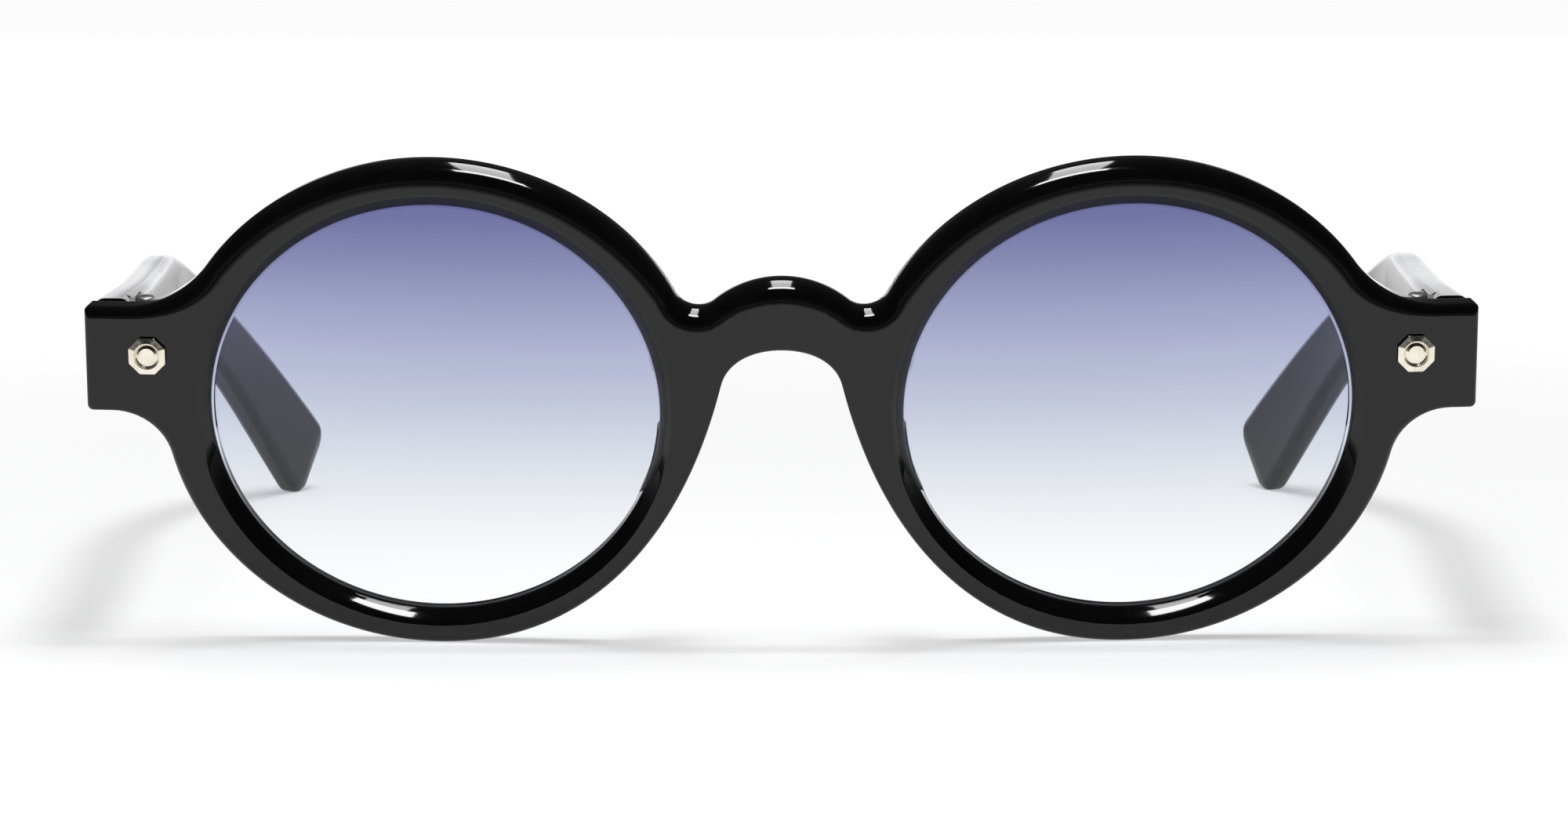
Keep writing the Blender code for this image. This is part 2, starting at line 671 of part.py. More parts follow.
def make_front_leaf():
    bm = bmesh.new()
    back = -HINGE_STANDOFF
    low = (-NECK_EDGE - FRONT_LEAF_LENGTH, back - LEAF_THICKNESS, -FRONT_LEAF_HALF_HEIGHT)
    add_box(bm, low, (-NECK_EDGE, back, FRONT_LEAF_HALF_HEIGHT))
    leaf = new_piece("front_hinge_leaf_right", bm, HINGE, STEEL)
    prisms = bmesh.new()
    for low, high in knuckle_heights((-1, 1)):
        add_prism(prisms, front_neck_outline(), low, high)
    tool = new_cutter("front_knuckles_right", prisms, HINGE)
    hole = bmesh.new()
    place = RIVET_PLACE - HINGE_PLACE
    add_cylinder(
        hole,
        RIVET_SHANK_RADIUS + RIVET_GAP,
        (place, back - LEAF_THICKNESS - OVERRUN, 0.0),
        (place, back + OVERRUN / 2, 0.0),
    )
    rivet_bore = new_cutter("front_leaf_rivet_bore_right", hole, HINGE)
    finish_leaf(leaf, tool, [hinge_bore("front_leaf_bore_right", HINGE), rivet_bore])
    return leaf


def front_leaf_pocket():
    bm = bmesh.new()
    back = -HINGE_STANDOFF
    end = -NECK_EDGE - FRONT_LEAF_LENGTH - LEAF_GAP
    half_height = FRONT_LEAF_HALF_HEIGHT + LEAF_GAP
    low = (end, back - LEAF_THICKNESS - LEAF_GAP, -half_height)
    add_box(bm, low, (-NECK_EDGE + LEAF_GAP, back + OVERRUN, half_height))
    return new_cutter("front_leaf_pocket_right", bm, HINGE)


def make_temple_leaf():
    tilt = Matrix.Rotation(-TEMPLE_SLOPE, 4, "X")
    inner, outer = TEMPLE_OFFSET, TEMPLE_OFFSET + LEAF_THICKNESS
    low = (inner, TEMPLE_LEAF_START, -TEMPLE_LEAF_HALF_HEIGHT)
    bm = bmesh.new()
    add_box(bm, low, (outer, TEMPLE_LEAF_START + TEMPLE_LEAF_LENGTH, TEMPLE_LEAF_HALF_HEIGHT), tilt)
    leaf = new_piece("temple_hinge_leaf_right", bm, TEMPLE, STEEL)
    prisms = bmesh.new()
    for low, high in knuckle_heights((-2, 0, 2)):
        add_prism(prisms, temple_neck_outline(), low, high)
    tool = new_cutter("temple_knuckles_right", prisms, TEMPLE)
    hole = bmesh.new()
    place = temple_rivet_matrix().translation
    radius = RIVET_SHANK_RADIUS + RIVET_GAP
    add_cylinder(hole, radius, (inner - OVERRUN / 2, place.y, place.z), (outer + OVERRUN, place.y, place.z))
    rivet_bore = new_cutter("temple_leaf_rivet_bore_right", hole, TEMPLE)
    finish_leaf(leaf, tool, [hinge_bore("temple_leaf_bore_right", TEMPLE), rivet_bore])
    return leaf


def temple_leaf_pockets():
    tilt = Matrix.Rotation(-TEMPLE_SLOPE, 4, "X")
    inner, outer = TEMPLE_OFFSET - OVERRUN / 2, TEMPLE_OFFSET + LEAF_THICKNESS + LEAF_GAP
    plate = bmesh.new()
    add_box(
        plate,
        (inner, TEMPLE_LEAF_START - LEAF_GAP, -TEMPLE_LEAF_HALF_HEIGHT - LEAF_GAP),
        (outer, TEMPLE_LEAF_START + TEMPLE_LEAF_LENGTH + LEAF_GAP, TEMPLE_LEAF_HALF_HEIGHT + LEAF_GAP),
        tilt,
    )
    barrel = bmesh.new()
    half_height = KNUCKLE_PITCH * KNUCKLE_COUNT / 2 + LEAF_GAP
    add_box(
        barrel,
        (inner, -HINGE_STANDOFF - OVERRUN, -half_height),
        (outer, TEMPLE_LEAF_START + LEAF_THICKNESS + LEAF_GAP, half_height),
    )
    return [
        new_cutter("temple_leaf_pocket_right", plate, TEMPLE),
        new_cutter("temple_barrel_pocket_right", barrel, TEMPLE),
    ]


def make_screw():
    """A slotted hinge screw, from its head down through all five knuckles."""
    top = KNUCKLE_PITCH * KNUCKLE_COUNT / 2
    bm = bmesh.new()
    add_cylinder(bm, SCREW_RADIUS, (0.0, 0.0, -top), (0.0, 0.0, top + SCREW_HEAD_HEIGHT / 2))
    screw = new_piece("hinge_screw_right", bm, HINGE, STEEL)
    head = bmesh.new()
    add_cylinder(head, SCREW_HEAD_RADIUS, (0.0, 0.0, top), (0.0, 0.0, top + SCREW_HEAD_HEIGHT), BARREL_SIDES)
    combine(screw, new_cutter("screw_head_right", head, HINGE), "UNION")
    slot = bmesh.new()
    reach = SCREW_HEAD_RADIUS + OVERRUN
    slot_floor = top + SCREW_HEAD_HEIGHT - SCREW_SLOT_DEPTH
    add_box(slot, (-reach, -SCREW_SLOT_WIDTH / 2, slot_floor), (reach, SCREW_SLOT_WIDTH / 2, top + OVERRUN))
    combine(screw, new_cutter("screw_slot_right", slot, HINGE), "DIFFERENCE")
    return screw


def ease(value, start, end):
    """Zero before start, one after end, and smooth between."""
    t = min(max((value - start) / (end - start), 0.0), 1.0)
    return t * t * (3.0 - 2.0 * t)


def temple_direction(slope, inward):
    """The direction in which a temple runs at a slope and an inward turn."""
    level = math.cos(slope)
    return Vector((-math.sin(inward) * level, math.cos(inward) * level, math.sin(slope)))


def temple_path(places):
    """Position, slope and inward turn of the temple's middle line at each distance from its front end.

    The line falls by the slope and splays a little outwards behind the hinge. Behind the ear it bends
    down and turns towards the head.
    """
    step = TEMPLE_LENGTH / PATH_STEPS
    centre_height = (END_PIECE_TOP + END_PIECE_BOTTOM) / 2 - RIVET_HEIGHT
    point = Vector((TEMPLE_OFFSET + TEMPLE_THICKNESS / 2, TEMPLE_BUTT_GAP - HINGE_STANDOFF, centre_height))
    path = []
    place = 0.0
    for target in places:
        while True:
            slope = -TEMPLE_SLOPE - BEND_ANGLE * ease(place, BEND_START, BEND_START + BEND_LENGTH)
            inward = INWARD_ANGLE * max(place - INWARD_START, 0.0) / (TEMPLE_LENGTH - INWARD_START)
            inward -= SPLAY_ANGLE * ease(place, SPLAY_START, SPLAY_START + SPLAY_LENGTH)
            if place + step > target:
                break
            point = point + temple_direction(slope, inward) * step
            place += step
        path.append((point.copy(), slope, inward))
    return path


def temple_height(place):
    height = TEMPLE_HEIGHT
    height += (TEMPLE_MID_HEIGHT - TEMPLE_HEIGHT) * ease(place, 0.0, TEMPLE_MID_PLACE)
    height += (TEMPLE_BEND_HEIGHT - TEMPLE_MID_HEIGHT) * ease(place, TEMPLE_MID_PLACE, TEMPLE_BEND_PLACE)
    height += (TEMPLE_TIP_HEIGHT - TEMPLE_BEND_HEIGHT) * ease(place, TEMPLE_BEND_PLACE, TEMPLE_LENGTH)
    return height


def section_points(half_width, half_height, edge):
    """A rounded rectangle, anticlockwise as (outward, up)."""
    edge = min(edge, half_width * SECTION_CORNER_SHARE, half_height * SECTION_CORNER_SHARE)
    points = []
    for k, (side, up) in enumerate(((1, 1), (-1, 1), (-1, -1), (1, -1))):
        centre = (side * (half_width - edge), up * (half_height - edge))
        start = k * math.pi / 2
        points += arc_points(centre, edge, start, start + math.pi / 2, SECTION_CORNER_STEPS)
    return points


def temple_stations():
    """Distances of the sections, closer together where the tip rounds off, and how far each is drawn in."""
    body = TEMPLE_LENGTH - TEMPLE_TIP_ROUND
    stations = [(body * k / TEMPLE_STATIONS, 0.0) for k in range(TEMPLE_STATIONS + 1)]
    for k in range(1, TEMPLE_TIP_STEPS + 1):
        angle = math.pi / 2 * k / (TEMPLE_TIP_STEPS + 1)
        place = body + TEMPLE_TIP_ROUND * math.sin(angle)
        stations.append((place, TEMPLE_TIP_ROUND * (1.0 - math.cos(angle))))
    return stations


def make_temple():
    stations = temple_stations()
    path = temple_path([place for place, _ in stations])
    rings = []
    for (place, drawn), (centre, slope, inward) in zip(stations, path):
        thickness = TEMPLE_THICKNESS + (TEMPLE_TIP_THICKNESS - TEMPLE_THICKNESS) * place / TEMPLE_LENGTH
        outward = Vector((math.cos(inward), math.sin(inward), 0.0))
        along = temple_direction(slope, inward)
        up = outward.cross(along)
        half_thickness = thickness / 2 - drawn * thickness / temple_height(place)
        full_half = temple_height(place) / 2
        ring = section_points(half_thickness, full_half - drawn, TEMPLE_EDGE)
        # The tip's end is cut at a slant: the higher in the section, the further it stands back
        lean = up - along * TIP_SLANT * ease(place, TEMPLE_LENGTH - TIP_SLANT_LENGTH, TEMPLE_LENGTH)
        rings.append([centre + outward * point.x + lean * (point.y + full_half) - up * full_half for point in ring])
    # The front end is cut parallel to the back of the end piece that it meets
    butt = Vector((-math.sin(WRAP_ANGLE), math.cos(WRAP_ANGLE), 0.0))
    on_butt = Vector((0.0, TEMPLE_BUTT_GAP - HINGE_STANDOFF, 0.0))
    along = temple_direction(-TEMPLE_SLOPE, 0.0)
    rings[0] = [point - along * ((point - on_butt).dot(butt) / along.dot(butt)) for point in rings[0]]
    bm = bmesh.new()
    loft(bm, rings)
    bmesh.ops.recalc_face_normals(bm, faces=bm.faces)
    temple = new_piece("temple_right", bm, TEMPLE, ACETATE)
    for cutter in temple_leaf_pockets() + rivet_hole(
        "temple_rivet_right", TEMPLE, temple_rivet_matrix(), TEMPLE_THICKNESS
    ):
        combine(temple, cutter, "DIFFERENCE")
    combine(temple, make_channel(), "DIFFERENCE")
    return temple


def temple_rivet_matrix():
    """The seat of the temple's rivet, on its outer face, with the rivet's axis along +X."""
    depth = RIVET_HEAD_THICKNESS - RIVET_PROUD
    place = TEMPLE_RIVET_PLACE
    drop = place * math.tan(TEMPLE_SLOPE)
    seat = Vector((TEMPLE_OFFSET + TEMPLE_THICKNESS - depth, place, -drop))
    return Matrix.Translation(seat) @ Matrix.Rotation(math.pi / 2, 4, "Y")


def wire_points(start, end):
    places = [start + (end - start) * k / (WIRE_POINTS - 1) for k in range(WIRE_POINTS)]
    points = []
    for place, (centre, slope, inward) in zip(places, temple_path([max(place, 0.0) for place in places])):
        drop = WIRE_DROP * (1.0 - ease(place, TEMPLE_LEAF_LENGTH, WIRE_DROP_END))
        outward = Vector((math.cos(inward), math.sin(inward), 0.0))
        before = Vector((0.0, min(place, 0.0), 0.0))
        points.append(centre + outward * WIRE_SHIFT - Vector((0.0, 0.0, drop)) + before)
    return points


def make_wire():
    bm = bmesh.new()
    add_tube(bm, wire_points(WIRE_GAP, WIRE_END), WIRE_RADIUS)
    return new_piece("core_wire_right", bm, TEMPLE, STEEL)


def make_channel():
    bm = bmesh.new()
    add_tube(bm, wire_points(-OVERRUN, WIRE_END + WIRE_GAP), WIRE_RADIUS + WIRE_GAP)
    return new_cutter("wire_channel_right", bm, TEMPLE)


def make_nose_pad():
    """A pad behind the side of the nose space, lofted along it and drawn out at both ends."""
    fine_steps = NOSE_STEPS * PAD_STATIONS
    side, _ = nose_curves(fine_steps)
    first, last = PAD_START_SHARE * fine_steps, PAD_END_SHARE * fine_steps
    rings = []
    for k in range(PAD_STATIONS + 1):
        share = k / PAD_STATIONS
        index = round(first + (last - first) * share)
        forward = (side[index + 1] - side[index - 1]).normalized()
        into = Vector((-forward.y, forward.x))
        swell = math.sqrt(math.sin(math.pi * (share * PAD_FULL_SHARE + (1.0 - PAD_FULL_SHARE) / 2)))
        depth = PAD_DEPTH * swell
        width = PAD_WIDTH * (PAD_THIN_SHARE + (1.0 - PAD_THIN_SHARE) * swell)
        seat = FRONT_THICKNESS + PAD_GAP
        near = side[index] + into * PAD_INSET
        ring = []
        for across, deep in PAD_SECTION_SHARES:
            shift = into * (width * across + PAD_LEAN * swell * deep)
            place = near + shift
            ring.append(bend(place.x, seat + depth * deep, place.y))
        rings.append(ring)
    bm = bmesh.new()
    loft(bm, rings)
    bmesh.ops.recalc_face_normals(bm, faces=bm.faces)
    return new_piece("nose_pad_right", bm, ROOT, ACETATE)


def mirror_left(item):
    """The left twin of a right piece or cutter: its finished mesh, mirrored in the middle plane."""
    depsgraph = bpy.context.evaluated_depsgraph_get()
    mesh = bpy.data.meshes.new_from_object(item.evaluated_get(depsgraph))
    flip = Matrix.Diagonal((-1.0, 1.0, 1.0, 1.0))
    bm = bmesh.new()
    bm.from_mesh(mesh)
    bm.transform(flip)
    bmesh.ops.reverse_faces(bm, faces=bm.faces)
    bm.to_mesh(mesh)
    bm.free()
    twin = bpy.data.objects.new(item.name.replace("right", "left"), mesh)
    item.users_collection[0].objects.link(twin)
    twin.parent = LEFT_OF.get(item.parent, item.parent)
    twin.matrix_local = flip @ item.matrix_local @ flip
    twin.hide_render = item.hide_render
    twin.display_type = item.display_type
    return twin


def stand_on_table():
    """Turn and move the whole so that the lower rims and the temple tips rest at z = 0."""
    bpy.context.view_layer.update()
    depsgraph = bpy.context.evaluated_depsgraph_get()
    groups = {"front": [], "temple": [], "all": []}
    for item in PIECES.objects:
        if item.type != "MESH":
            continue
        mesh = item.evaluated_get(depsgraph).to_mesh()
        places = [item.matrix_world @ vert.co for vert in mesh.vertices]
        groups["all"] += places
        if item.name == "front_frame":
            groups["front"] += places
        if item.name.startswith("temple_"):
            groups["temple"] += places

    def lowest(group, angle):
        return min(point.y * math.sin(angle) + point.z * math.cos(angle) for point in groups[group])

    angle = find_root(lambda a: lowest("temple", a) - lowest("front", a), 0.0, math.pi / 6)
    turn = Matrix.Rotation(angle, 4, "X")
    turned = [turn @ point for point in groups["all"]]
    depths = [point.y for point in turned]
    lift = -min(point.z for point in turned)
    ROOT.matrix_world = Matrix.Translation((0.0, -(min(depths) + max(depths)) / 2, lift)) @ turn
    bpy.context.view_layer.update()


clear_scene()
PIECES = new_collection("round_sunglasses")
CUTTERS = new_collection("cutters")
ACETATE = new_material("black_acetate", (0.012, 0.012, 0.013), 0.12)
LENS_TINT = new_material("blue_gradient_lens", (0.35, 0.37, 0.62), 0.02, transmission=1.0)
GILT = new_material("pale_gold", (0.83, 0.78, 0.66), 0.22, metallic=1.0)
STEEL = new_material("hinge_steel", (0.62, 0.61, 0.58), 0.28, metallic=1.0)

ROOT = new_empty("sunglasses", None)
SIDE = new_empty("side_right", ROOT, bend(LENS_CENTRE, 0.0, 0.0), WRAP_ANGLE)
side_left = new_empty("side_left", ROOT, SIDE.location * Vector((-1.0, 1.0, 1.0)), -WRAP_ANGLE)
hinge_place = bend(HINGE_PLACE, FRONT_THICKNESS + HINGE_STANDOFF, RIVET_HEIGHT)
hinge_place_left = hinge_place * Vector((-1.0, 1.0, 1.0))
HINGE = new_empty("hinge_right", ROOT, hinge_place, WRAP_ANGLE)
hinge_left = new_empty("hinge_left", ROOT, hinge_place_left, -WRAP_ANGLE)
TEMPLE = new_empty("temple_axis_right", ROOT, hinge_place)
temple_left = new_empty("temple_axis_left", ROOT, hinge_place_left)
LEFT_OF = {SIDE: side_left, HINGE: hinge_left, TEMPLE: temple_left}

front_rivet_seat = Matrix.Translation(
    (RIVET_PLACE - LENS_CENTRE, RIVET_HEAD_THICKNESS - RIVET_PROUD, RIVET_HEIGHT)
) @ Matrix.Rotation(math.pi / 2, 4, "X")
front_rivet_length = FRONT_THICKNESS - RIVET_HEAD_THICKNESS + RIVET_PROUD
temple_rivet_length = TEMPLE_THICKNESS - RIVET_HEAD_THICKNESS + RIVET_PROUD

front = make_front()
front_rivet_hole = rivet_hole("front_rivet_right", SIDE, front_rivet_seat, front_rivet_length)
right_pieces = [
    make_lens(),
    make_nose_pad(),
    make_rivet("front_rivet_right", SIDE, front_rivet_seat, front_rivet_length),
    make_front_leaf(),
    make_screw(),
    make_temple(),
    make_temple_leaf(),
    make_rivet("temple_rivet_right", TEMPLE, temple_rivet_matrix(), temple_rivet_length),
    make_wire(),
]
bpy.context.view_layer.update()
for piece in right_pieces:
    mirror_left(piece)
for cutter in [front_leaf_pocket(), *front_rivet_hole]:
    combine(front, cutter, "DIFFERENCE")
    bpy.context.view_layer.update()
    combine(front, mirror_left(cutter), "DIFFERENCE")
stand_on_table()
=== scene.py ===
"""Round acetate sunglasses on a white table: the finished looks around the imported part.

Sizes are the CAD's own, in metres. Shapes are laid out on the flat front, with s along it, y through it
from the front face backwards and z up. They are then bent at the bridge and stood on the table.
"""

import math

import bmesh
import bpy
from mathutils import Matrix, Vector


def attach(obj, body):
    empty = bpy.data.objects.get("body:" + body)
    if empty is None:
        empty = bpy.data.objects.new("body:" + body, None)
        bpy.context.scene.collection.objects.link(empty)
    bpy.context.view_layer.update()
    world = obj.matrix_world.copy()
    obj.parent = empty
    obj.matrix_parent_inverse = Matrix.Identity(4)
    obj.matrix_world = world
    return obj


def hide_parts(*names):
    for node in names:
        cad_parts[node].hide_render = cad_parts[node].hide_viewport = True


MM = 0.001

# Rims, bridge and end pieces
BRIDGE_HALF_WIDTH = 12.6 * MM
OPENING_HALF_WIDTH = 23.2 * MM
OPENING_HALF_HEIGHT = 21.4 * MM
RIM_WIDTH_TOP = 4.65 * MM
RIM_WIDTH_BOTTOM = 3.4 * MM
RIM_WIDTH_SIDE = 4.85 * MM
FRONT_THICKNESS = 4.0 * MM
LENS_CENTRE = BRIDGE_HALF_WIDTH + OPENING_HALF_WIDTH
BRIDGE_TOP = 14.2 * MM
BRIDGE_ARCH_RADIUS = 11.5 * MM
BRIDGE_VALLEY_RADIUS = 2.6 * MM
NOSE_TOP = 7.0 * MM
NOSE_TOP_REACH = 3.3 * MM
NOSE_CORNER = (6.2 * MM, 3.2 * MM)
NOSE_CORNER_REACH = 2.4 * MM
NOSE_SIDE_REACH = 16.7 * MM
NOSE_SIDE_ANGLE = math.radians(14.0)
NOSE_FOOT_REACH = 12.0 * MM
NOSE_FOOT_ANGLE = math.radians(-99.0)
END_PIECE_SIDE = 71.7 * MM
END_PIECE_TOP = 10.3 * MM
END_PIECE_BOTTOM = -0.6 * MM
END_FILLET_TOP = 10.5 * MM
END_FILLET_BOTTOM = 6.2 * MM
END_CORNER_TOP = 0.35 * MM
END_CORNER_BOTTOM = 0.6 * MM

# Roundings of the front's edges, the bevel round its openings, and its bend at the bridge
EDGE_RIM = 2.6 * MM
EDGE_RIM_BOTTOM = 1.1 * MM
EDGE_END_TOP = 1.3 * MM
EDGE_END_SIDE = 0.6 * MM
EDGE_NOSE = 0.6 * MM
EDGE_BACK = 0.9 * MM
EDGE_DEPTH_SHARE = 0.8
OPENING_ROUND_WIDTH = 1.5 * MM
OPENING_ROUND_DEPTH = 1.45 * MM
OPENING_BEVEL_SHARE = 0.75
OPENING_BACK_CHAMFER = 0.3 * MM
WRAP_ANGLE = math.radians(5.0)
WRAP_LENGTH = 12.0 * MM

# Lens and its groove
GROOVE_PLACE = 2.45 * MM
GROOVE_HALF_WIDTH = 0.9 * MM
GROOVE_DEPTH = 0.8 * MM
LENS_GAP = 0.25 * MM
LENS_EDGE_HALF_WIDTH = 0.85 * MM
LENS_CURVE_RADIUS = 175.0 * MM

# Rivets
RIVET_PLACE = 65.2 * MM
RIVET_HEIGHT = 5.4 * MM
RIVET_ACROSS_FLATS = 3.8 * MM
RIVET_HEAD_THICKNESS = 0.9 * MM
RIVET_PROUD = 0.55 * MM
RIVET_BEZEL_DROP = 0.12 * MM
RIVET_BEZEL_RADIUS = 1.36 * MM
RIVET_GROOVE_OUTER = 1.3 * MM
RIVET_GROOVE_INNER = 1.24 * MM
RIVET_BOSS_RADIUS = 0.84 * MM
RIVET_GROOVE_DEPTH = 0.24 * MM
RIVET_SHANK_RADIUS = 0.6 * MM
RIVET_GAP = 0.15 * MM
RIVET_EDGE = 0.05 * MM

# Hinges
HINGE_PLACE = 66.5 * MM
HINGE_STANDOFF = 1.9 * MM
KNUCKLE_RADIUS = 1.4 * MM
KNUCKLE_PITCH = 1.7 * MM
KNUCKLE_GAP = 0.2 * MM
KNUCKLE_COUNT = 5
LEAF_THICKNESS = 0.9 * MM
LEAF_GAP = 0.15 * MM
FRONT_LEAF_LENGTH = 6.0 * MM
LEAF_HALF_HEIGHT = 4.1 * MM
TEMPLE_LEAF_START = 1.3 * MM
TEMPLE_LEAF_LENGTH = 7.7 * MM
HINGE_ROUND = 0.12 * MM
NECK_EDGE = 0.35 * MM
NECK_ROUND = 0.1 * MM
FRONT_NECK_ARC = (math.radians(250.0), math.radians(180.0))
TEMPLE_NECK_ARC = (math.radians(75.0), math.radians(-30.0))
TEMPLE_NECK_START = -0.7 * MM
SCREW_RADIUS = 0.65 * MM
SCREW_GAP = 0.12 * MM
SCREW_HEAD_RADIUS = 1.0 * MM
SCREW_HEAD_HEIGHT = 0.6 * MM
SCREW_SLOT = 0.3 * MM

# Temples
TEMPLE_LENGTH = 140.0 * MM
TEMPLE_OFFSET = 1.2 * MM
TEMPLE_THICKNESS = 4.0 * MM
TEMPLE_TIP_THICKNESS = 3.4 * MM
TEMPLE_BUTT_GAP = 0.2 * MM
TEMPLE_HEIGHTS = (10.9 * MM, 8.1 * MM, 7.2 * MM, 9.6 * MM)
TEMPLE_HEIGHT_PLACES = (0.0, 60.0 * MM, 97.0 * MM, 140.0 * MM)
TEMPLE_EDGE = 1.2 * MM
TEMPLE_TIP_ROUND = 2.6 * MM
TIP_SLANT = 0.21
TIP_SLANT_LENGTH = 15.0 * MM
TEMPLE_SLOPE = math.radians(8.2)
BEND_START = 49.0 * MM
BEND_LENGTH = 97.0 * MM
BEND_ANGLE = math.radians(41.8)
SPLAY_START = 9.5 * MM
SPLAY_LENGTH = 19.5 * MM
SPLAY_ANGLE = math.radians(3.4)
INWARD_START = 69.5 * MM
INWARD_ANGLE = math.radians(32.8)
TEMPLE_RIVET_PLACE = 5.9 * MM

# Nose pads
PAD_DEPTH = 4.6 * MM
PAD_WIDTH = 3.0 * MM
PAD_GAP = 0.2 * MM
PAD_INSET = 0.5 * MM
PAD_LEAN = 1.7 * MM
PAD_SHARES = (0.02, 0.42)
PAD_END_WIDTH = 0.6
PAD_SWELL = (0.05, 0.9)
PAD_SECTION = ((0.0, 0.0), (0.02, 0.45), (0.12, 0.8), (0.38, 1.0), (0.68, 0.9), (0.9, 0.6), (1.0, 0.0))

# Where the flat front's origin stands, and how far the front leans forward at its top
STAND_PLACE = (0.0, -68.969928 * MM, 23.917863 * MM)
LEAN = math.radians(9.011561)

# Fineness
OVERRUN = 1.0 * MM
SAME_POINT = 0.002 * MM
OUTLINE_STEPS = 12
ROUND_STEPS = 8
OPENING_STEPS = 240
BEND_CUTS = 24
LENS_RINGS = 40
TURNED_STEPS = 64
RIVET_STEPS = 96
PATH_STEPS = 560
TEMPLE_STEPS = 150
TIP_STEPS = 13
PAD_STEPS = 14
PAD_CURVE_STEPS = 360
PAD_LEVELS = 3
SHARP = math.radians(38.0)

# Gloss and pigment of the black acetate
ACETATE_IOR = 1.44
ACETATE_GRAIN = 140.0
ACETATE_PIGMENT = ((0.3, (0.0022, 0.0022, 0.0024)), (0.75, (0.0042, 0.0041, 0.0042)))

# Hairlines in a polish: how each set is turned and stretched, and where they start in its noise
HAIRLINES = ((0.4, (90.0, 2600.0, 2600.0)), (-0.7, (2400.0, 110.0, 2400.0)))
HAIRLINE_START = 0.68
HAIRLINE_CONTRAST = 9.0
METAL_BUMP = 0.01 * MM

# Tint of the lens by its height from the middle of the lens, in millimetres, from the top down
LENS_TINTS = (
    (21.0, (0.146, 0.154, 0.336)),
    (18.3, (0.174, 0.182, 0.357)),
    (14.1, (0.242, 0.257, 0.435)),
    (9.9, (0.346, 0.371, 0.556)),
    (5.7, (0.448, 0.472, 0.665)),
    (0.0, (0.590, 0.630, 0.770)),
    (-5.2, (0.735, 0.790, 0.860)),
    (-10.2, (0.870, 0.880, 0.915)),
    (-15.3, (0.950, 0.965, 0.985)),
    (-20.0, (0.985, 0.990, 0.995)),
)
LENS_IOR = 1.5
LENS_SPECULAR = (0.3, 0.3, 0.3, 1.0)

# Table: its own grey, and how much white is added to it by distance from the middle
TABLE_GREY = (0.42, 0.42, 0.42, 1.0)
TABLE_ROUGHNESS = 0.6
TABLE_REACH = (0.05, 0.5)
TABLE_LIFT = (0.5, 0.95)
# In its mirror image that white fades over these distances, a painted pool of light round the glasses, but
# not where the table lies this far back
MIRRORED_LIGHT_POOL_END = (0.2, 0.34)
MIRRORED_LIGHT_POOL_BACK = (0.05, 0.15)
WHITE = (1.0, 1.0, 1.0, 1.0)

# Brightness of the room by the height of the direction, 0 at the horizon and 1 straight up, and in front
ROOM_LEVELS = ((0.0, 0.95), (0.06, 0.5), (0.14, 0.18), (0.3, 0.06), (0.5, 0.035))
ROOM_BLUE = 1.05
ROOM_FRONT_LEVEL = 0.3
ROOM_FRONT_REACH = 0.3

# Lamps: name, place, what it points at, width and height, power, and which rays it is hidden from
LAMPS = (
    ("strip_overhead", (0.0, -0.07, 0.38), (0.0, -0.07, 0.0), (0.09, 0.34), 1.25, None),
    ("strip_front", (0.0, -0.27, 0.38), (0.0, -0.07, 0.0), (0.13, 0.06), 0.7, "diffuse"),
    ("key_overhead", (0.0, -0.07, 0.6), (0.0, -0.07, 0.0), (0.45, 0.03), 1.15, "glossy"),
    ("fill_overhead", (-0.35, 0.0, 1.0), (0.0, 0.0, 0.0), (1.4, 1.4), 2.45, "glossy"),
    ("panel_behind", (0.0, 1.5, 0.21), (0.0, 0.0, 0.03), (3.0, 0.38), 3.6, None),
)

# Camera
CAMERA_PLACE = (0.24 * MM, -624.686 * MM, 84.5 * MM)
CAMERA_DOWN = math.radians(6.115)
CAMERA_ROLL = math.radians(-0.12)
CAMERA_LENS = 126.04


def ease(value, start, end):
    """Zero before start, one after end, and smooth between."""
    t = min(max((value - start) / (end - start), 0.0), 1.0)
    return t * t * (3.0 - 2.0 * t)


def find_root(function, low, high):
    """The place between low and high where the function changes sign."""
    rising = function(low) > 0.0
    for _ in range(60):
        middle = (low + high) / 2
        if (function(middle) > 0.0) == rising:
            low = middle
        else:
            high = middle
    return (low + high) / 2


def bend(s, y, z):
    """Where a point of the flat front lies once the bridge is bent."""
    radius = WRAP_LENGTH / WRAP_ANGLE
    reach = abs(s)
    angle = min(reach, WRAP_LENGTH) / radius
    beyond = max(reach - WRAP_LENGTH, 0.0)
    x = radius * math.sin(angle) + beyond * math.cos(angle) - y * math.sin(angle)
    back = radius * (1.0 - math.cos(angle)) + beyond * math.sin(angle) + y * math.cos(angle)
    return Vector((math.copysign(x, s), back, z))


# Mesh helpers


def loft(bm, rings, closed=True, capped=True):
    """Quads between rings of equal length, with a cap on the first and the last."""
    rows = [[bm.verts.new(point) for point in ring] for ring in rings]
    count = len(rows[0])
    for low, high in zip(rows, rows[1:]):
        for k in range(count if closed else count - 1):
            n = (k + 1) % count
            bm.faces.new((low[k], low[n], high[n], high[k]))
    if capped:
        bm.faces.new(rows[0][::-1])
        bm.faces.new(rows[-1])
    return rows


def turned(bm, profile, steps, sides=None):
    """A shape turned about its own z from (radius, height, roundness) rows.

    With sides, a radius is measured to their flats, and a roundness of 1 makes the ring round again.
    """
    rings = []
    for radius, height, roundness in profile:
        ring = []
        for k in range(steps):
            angle = 2 * math.pi * (k + 0.5) / steps
            reach = radius
            if sides:
                within = (angle + math.pi / sides) % (2 * math.pi / sides) - math.pi / sides
                flat = radius / math.cos(within)
                reach = flat + (radius - flat) * roundness
            ring.append((reach * math.cos(angle), reach * math.sin(angle), height))
        rings.append(ring)
    loft(bm, rings)


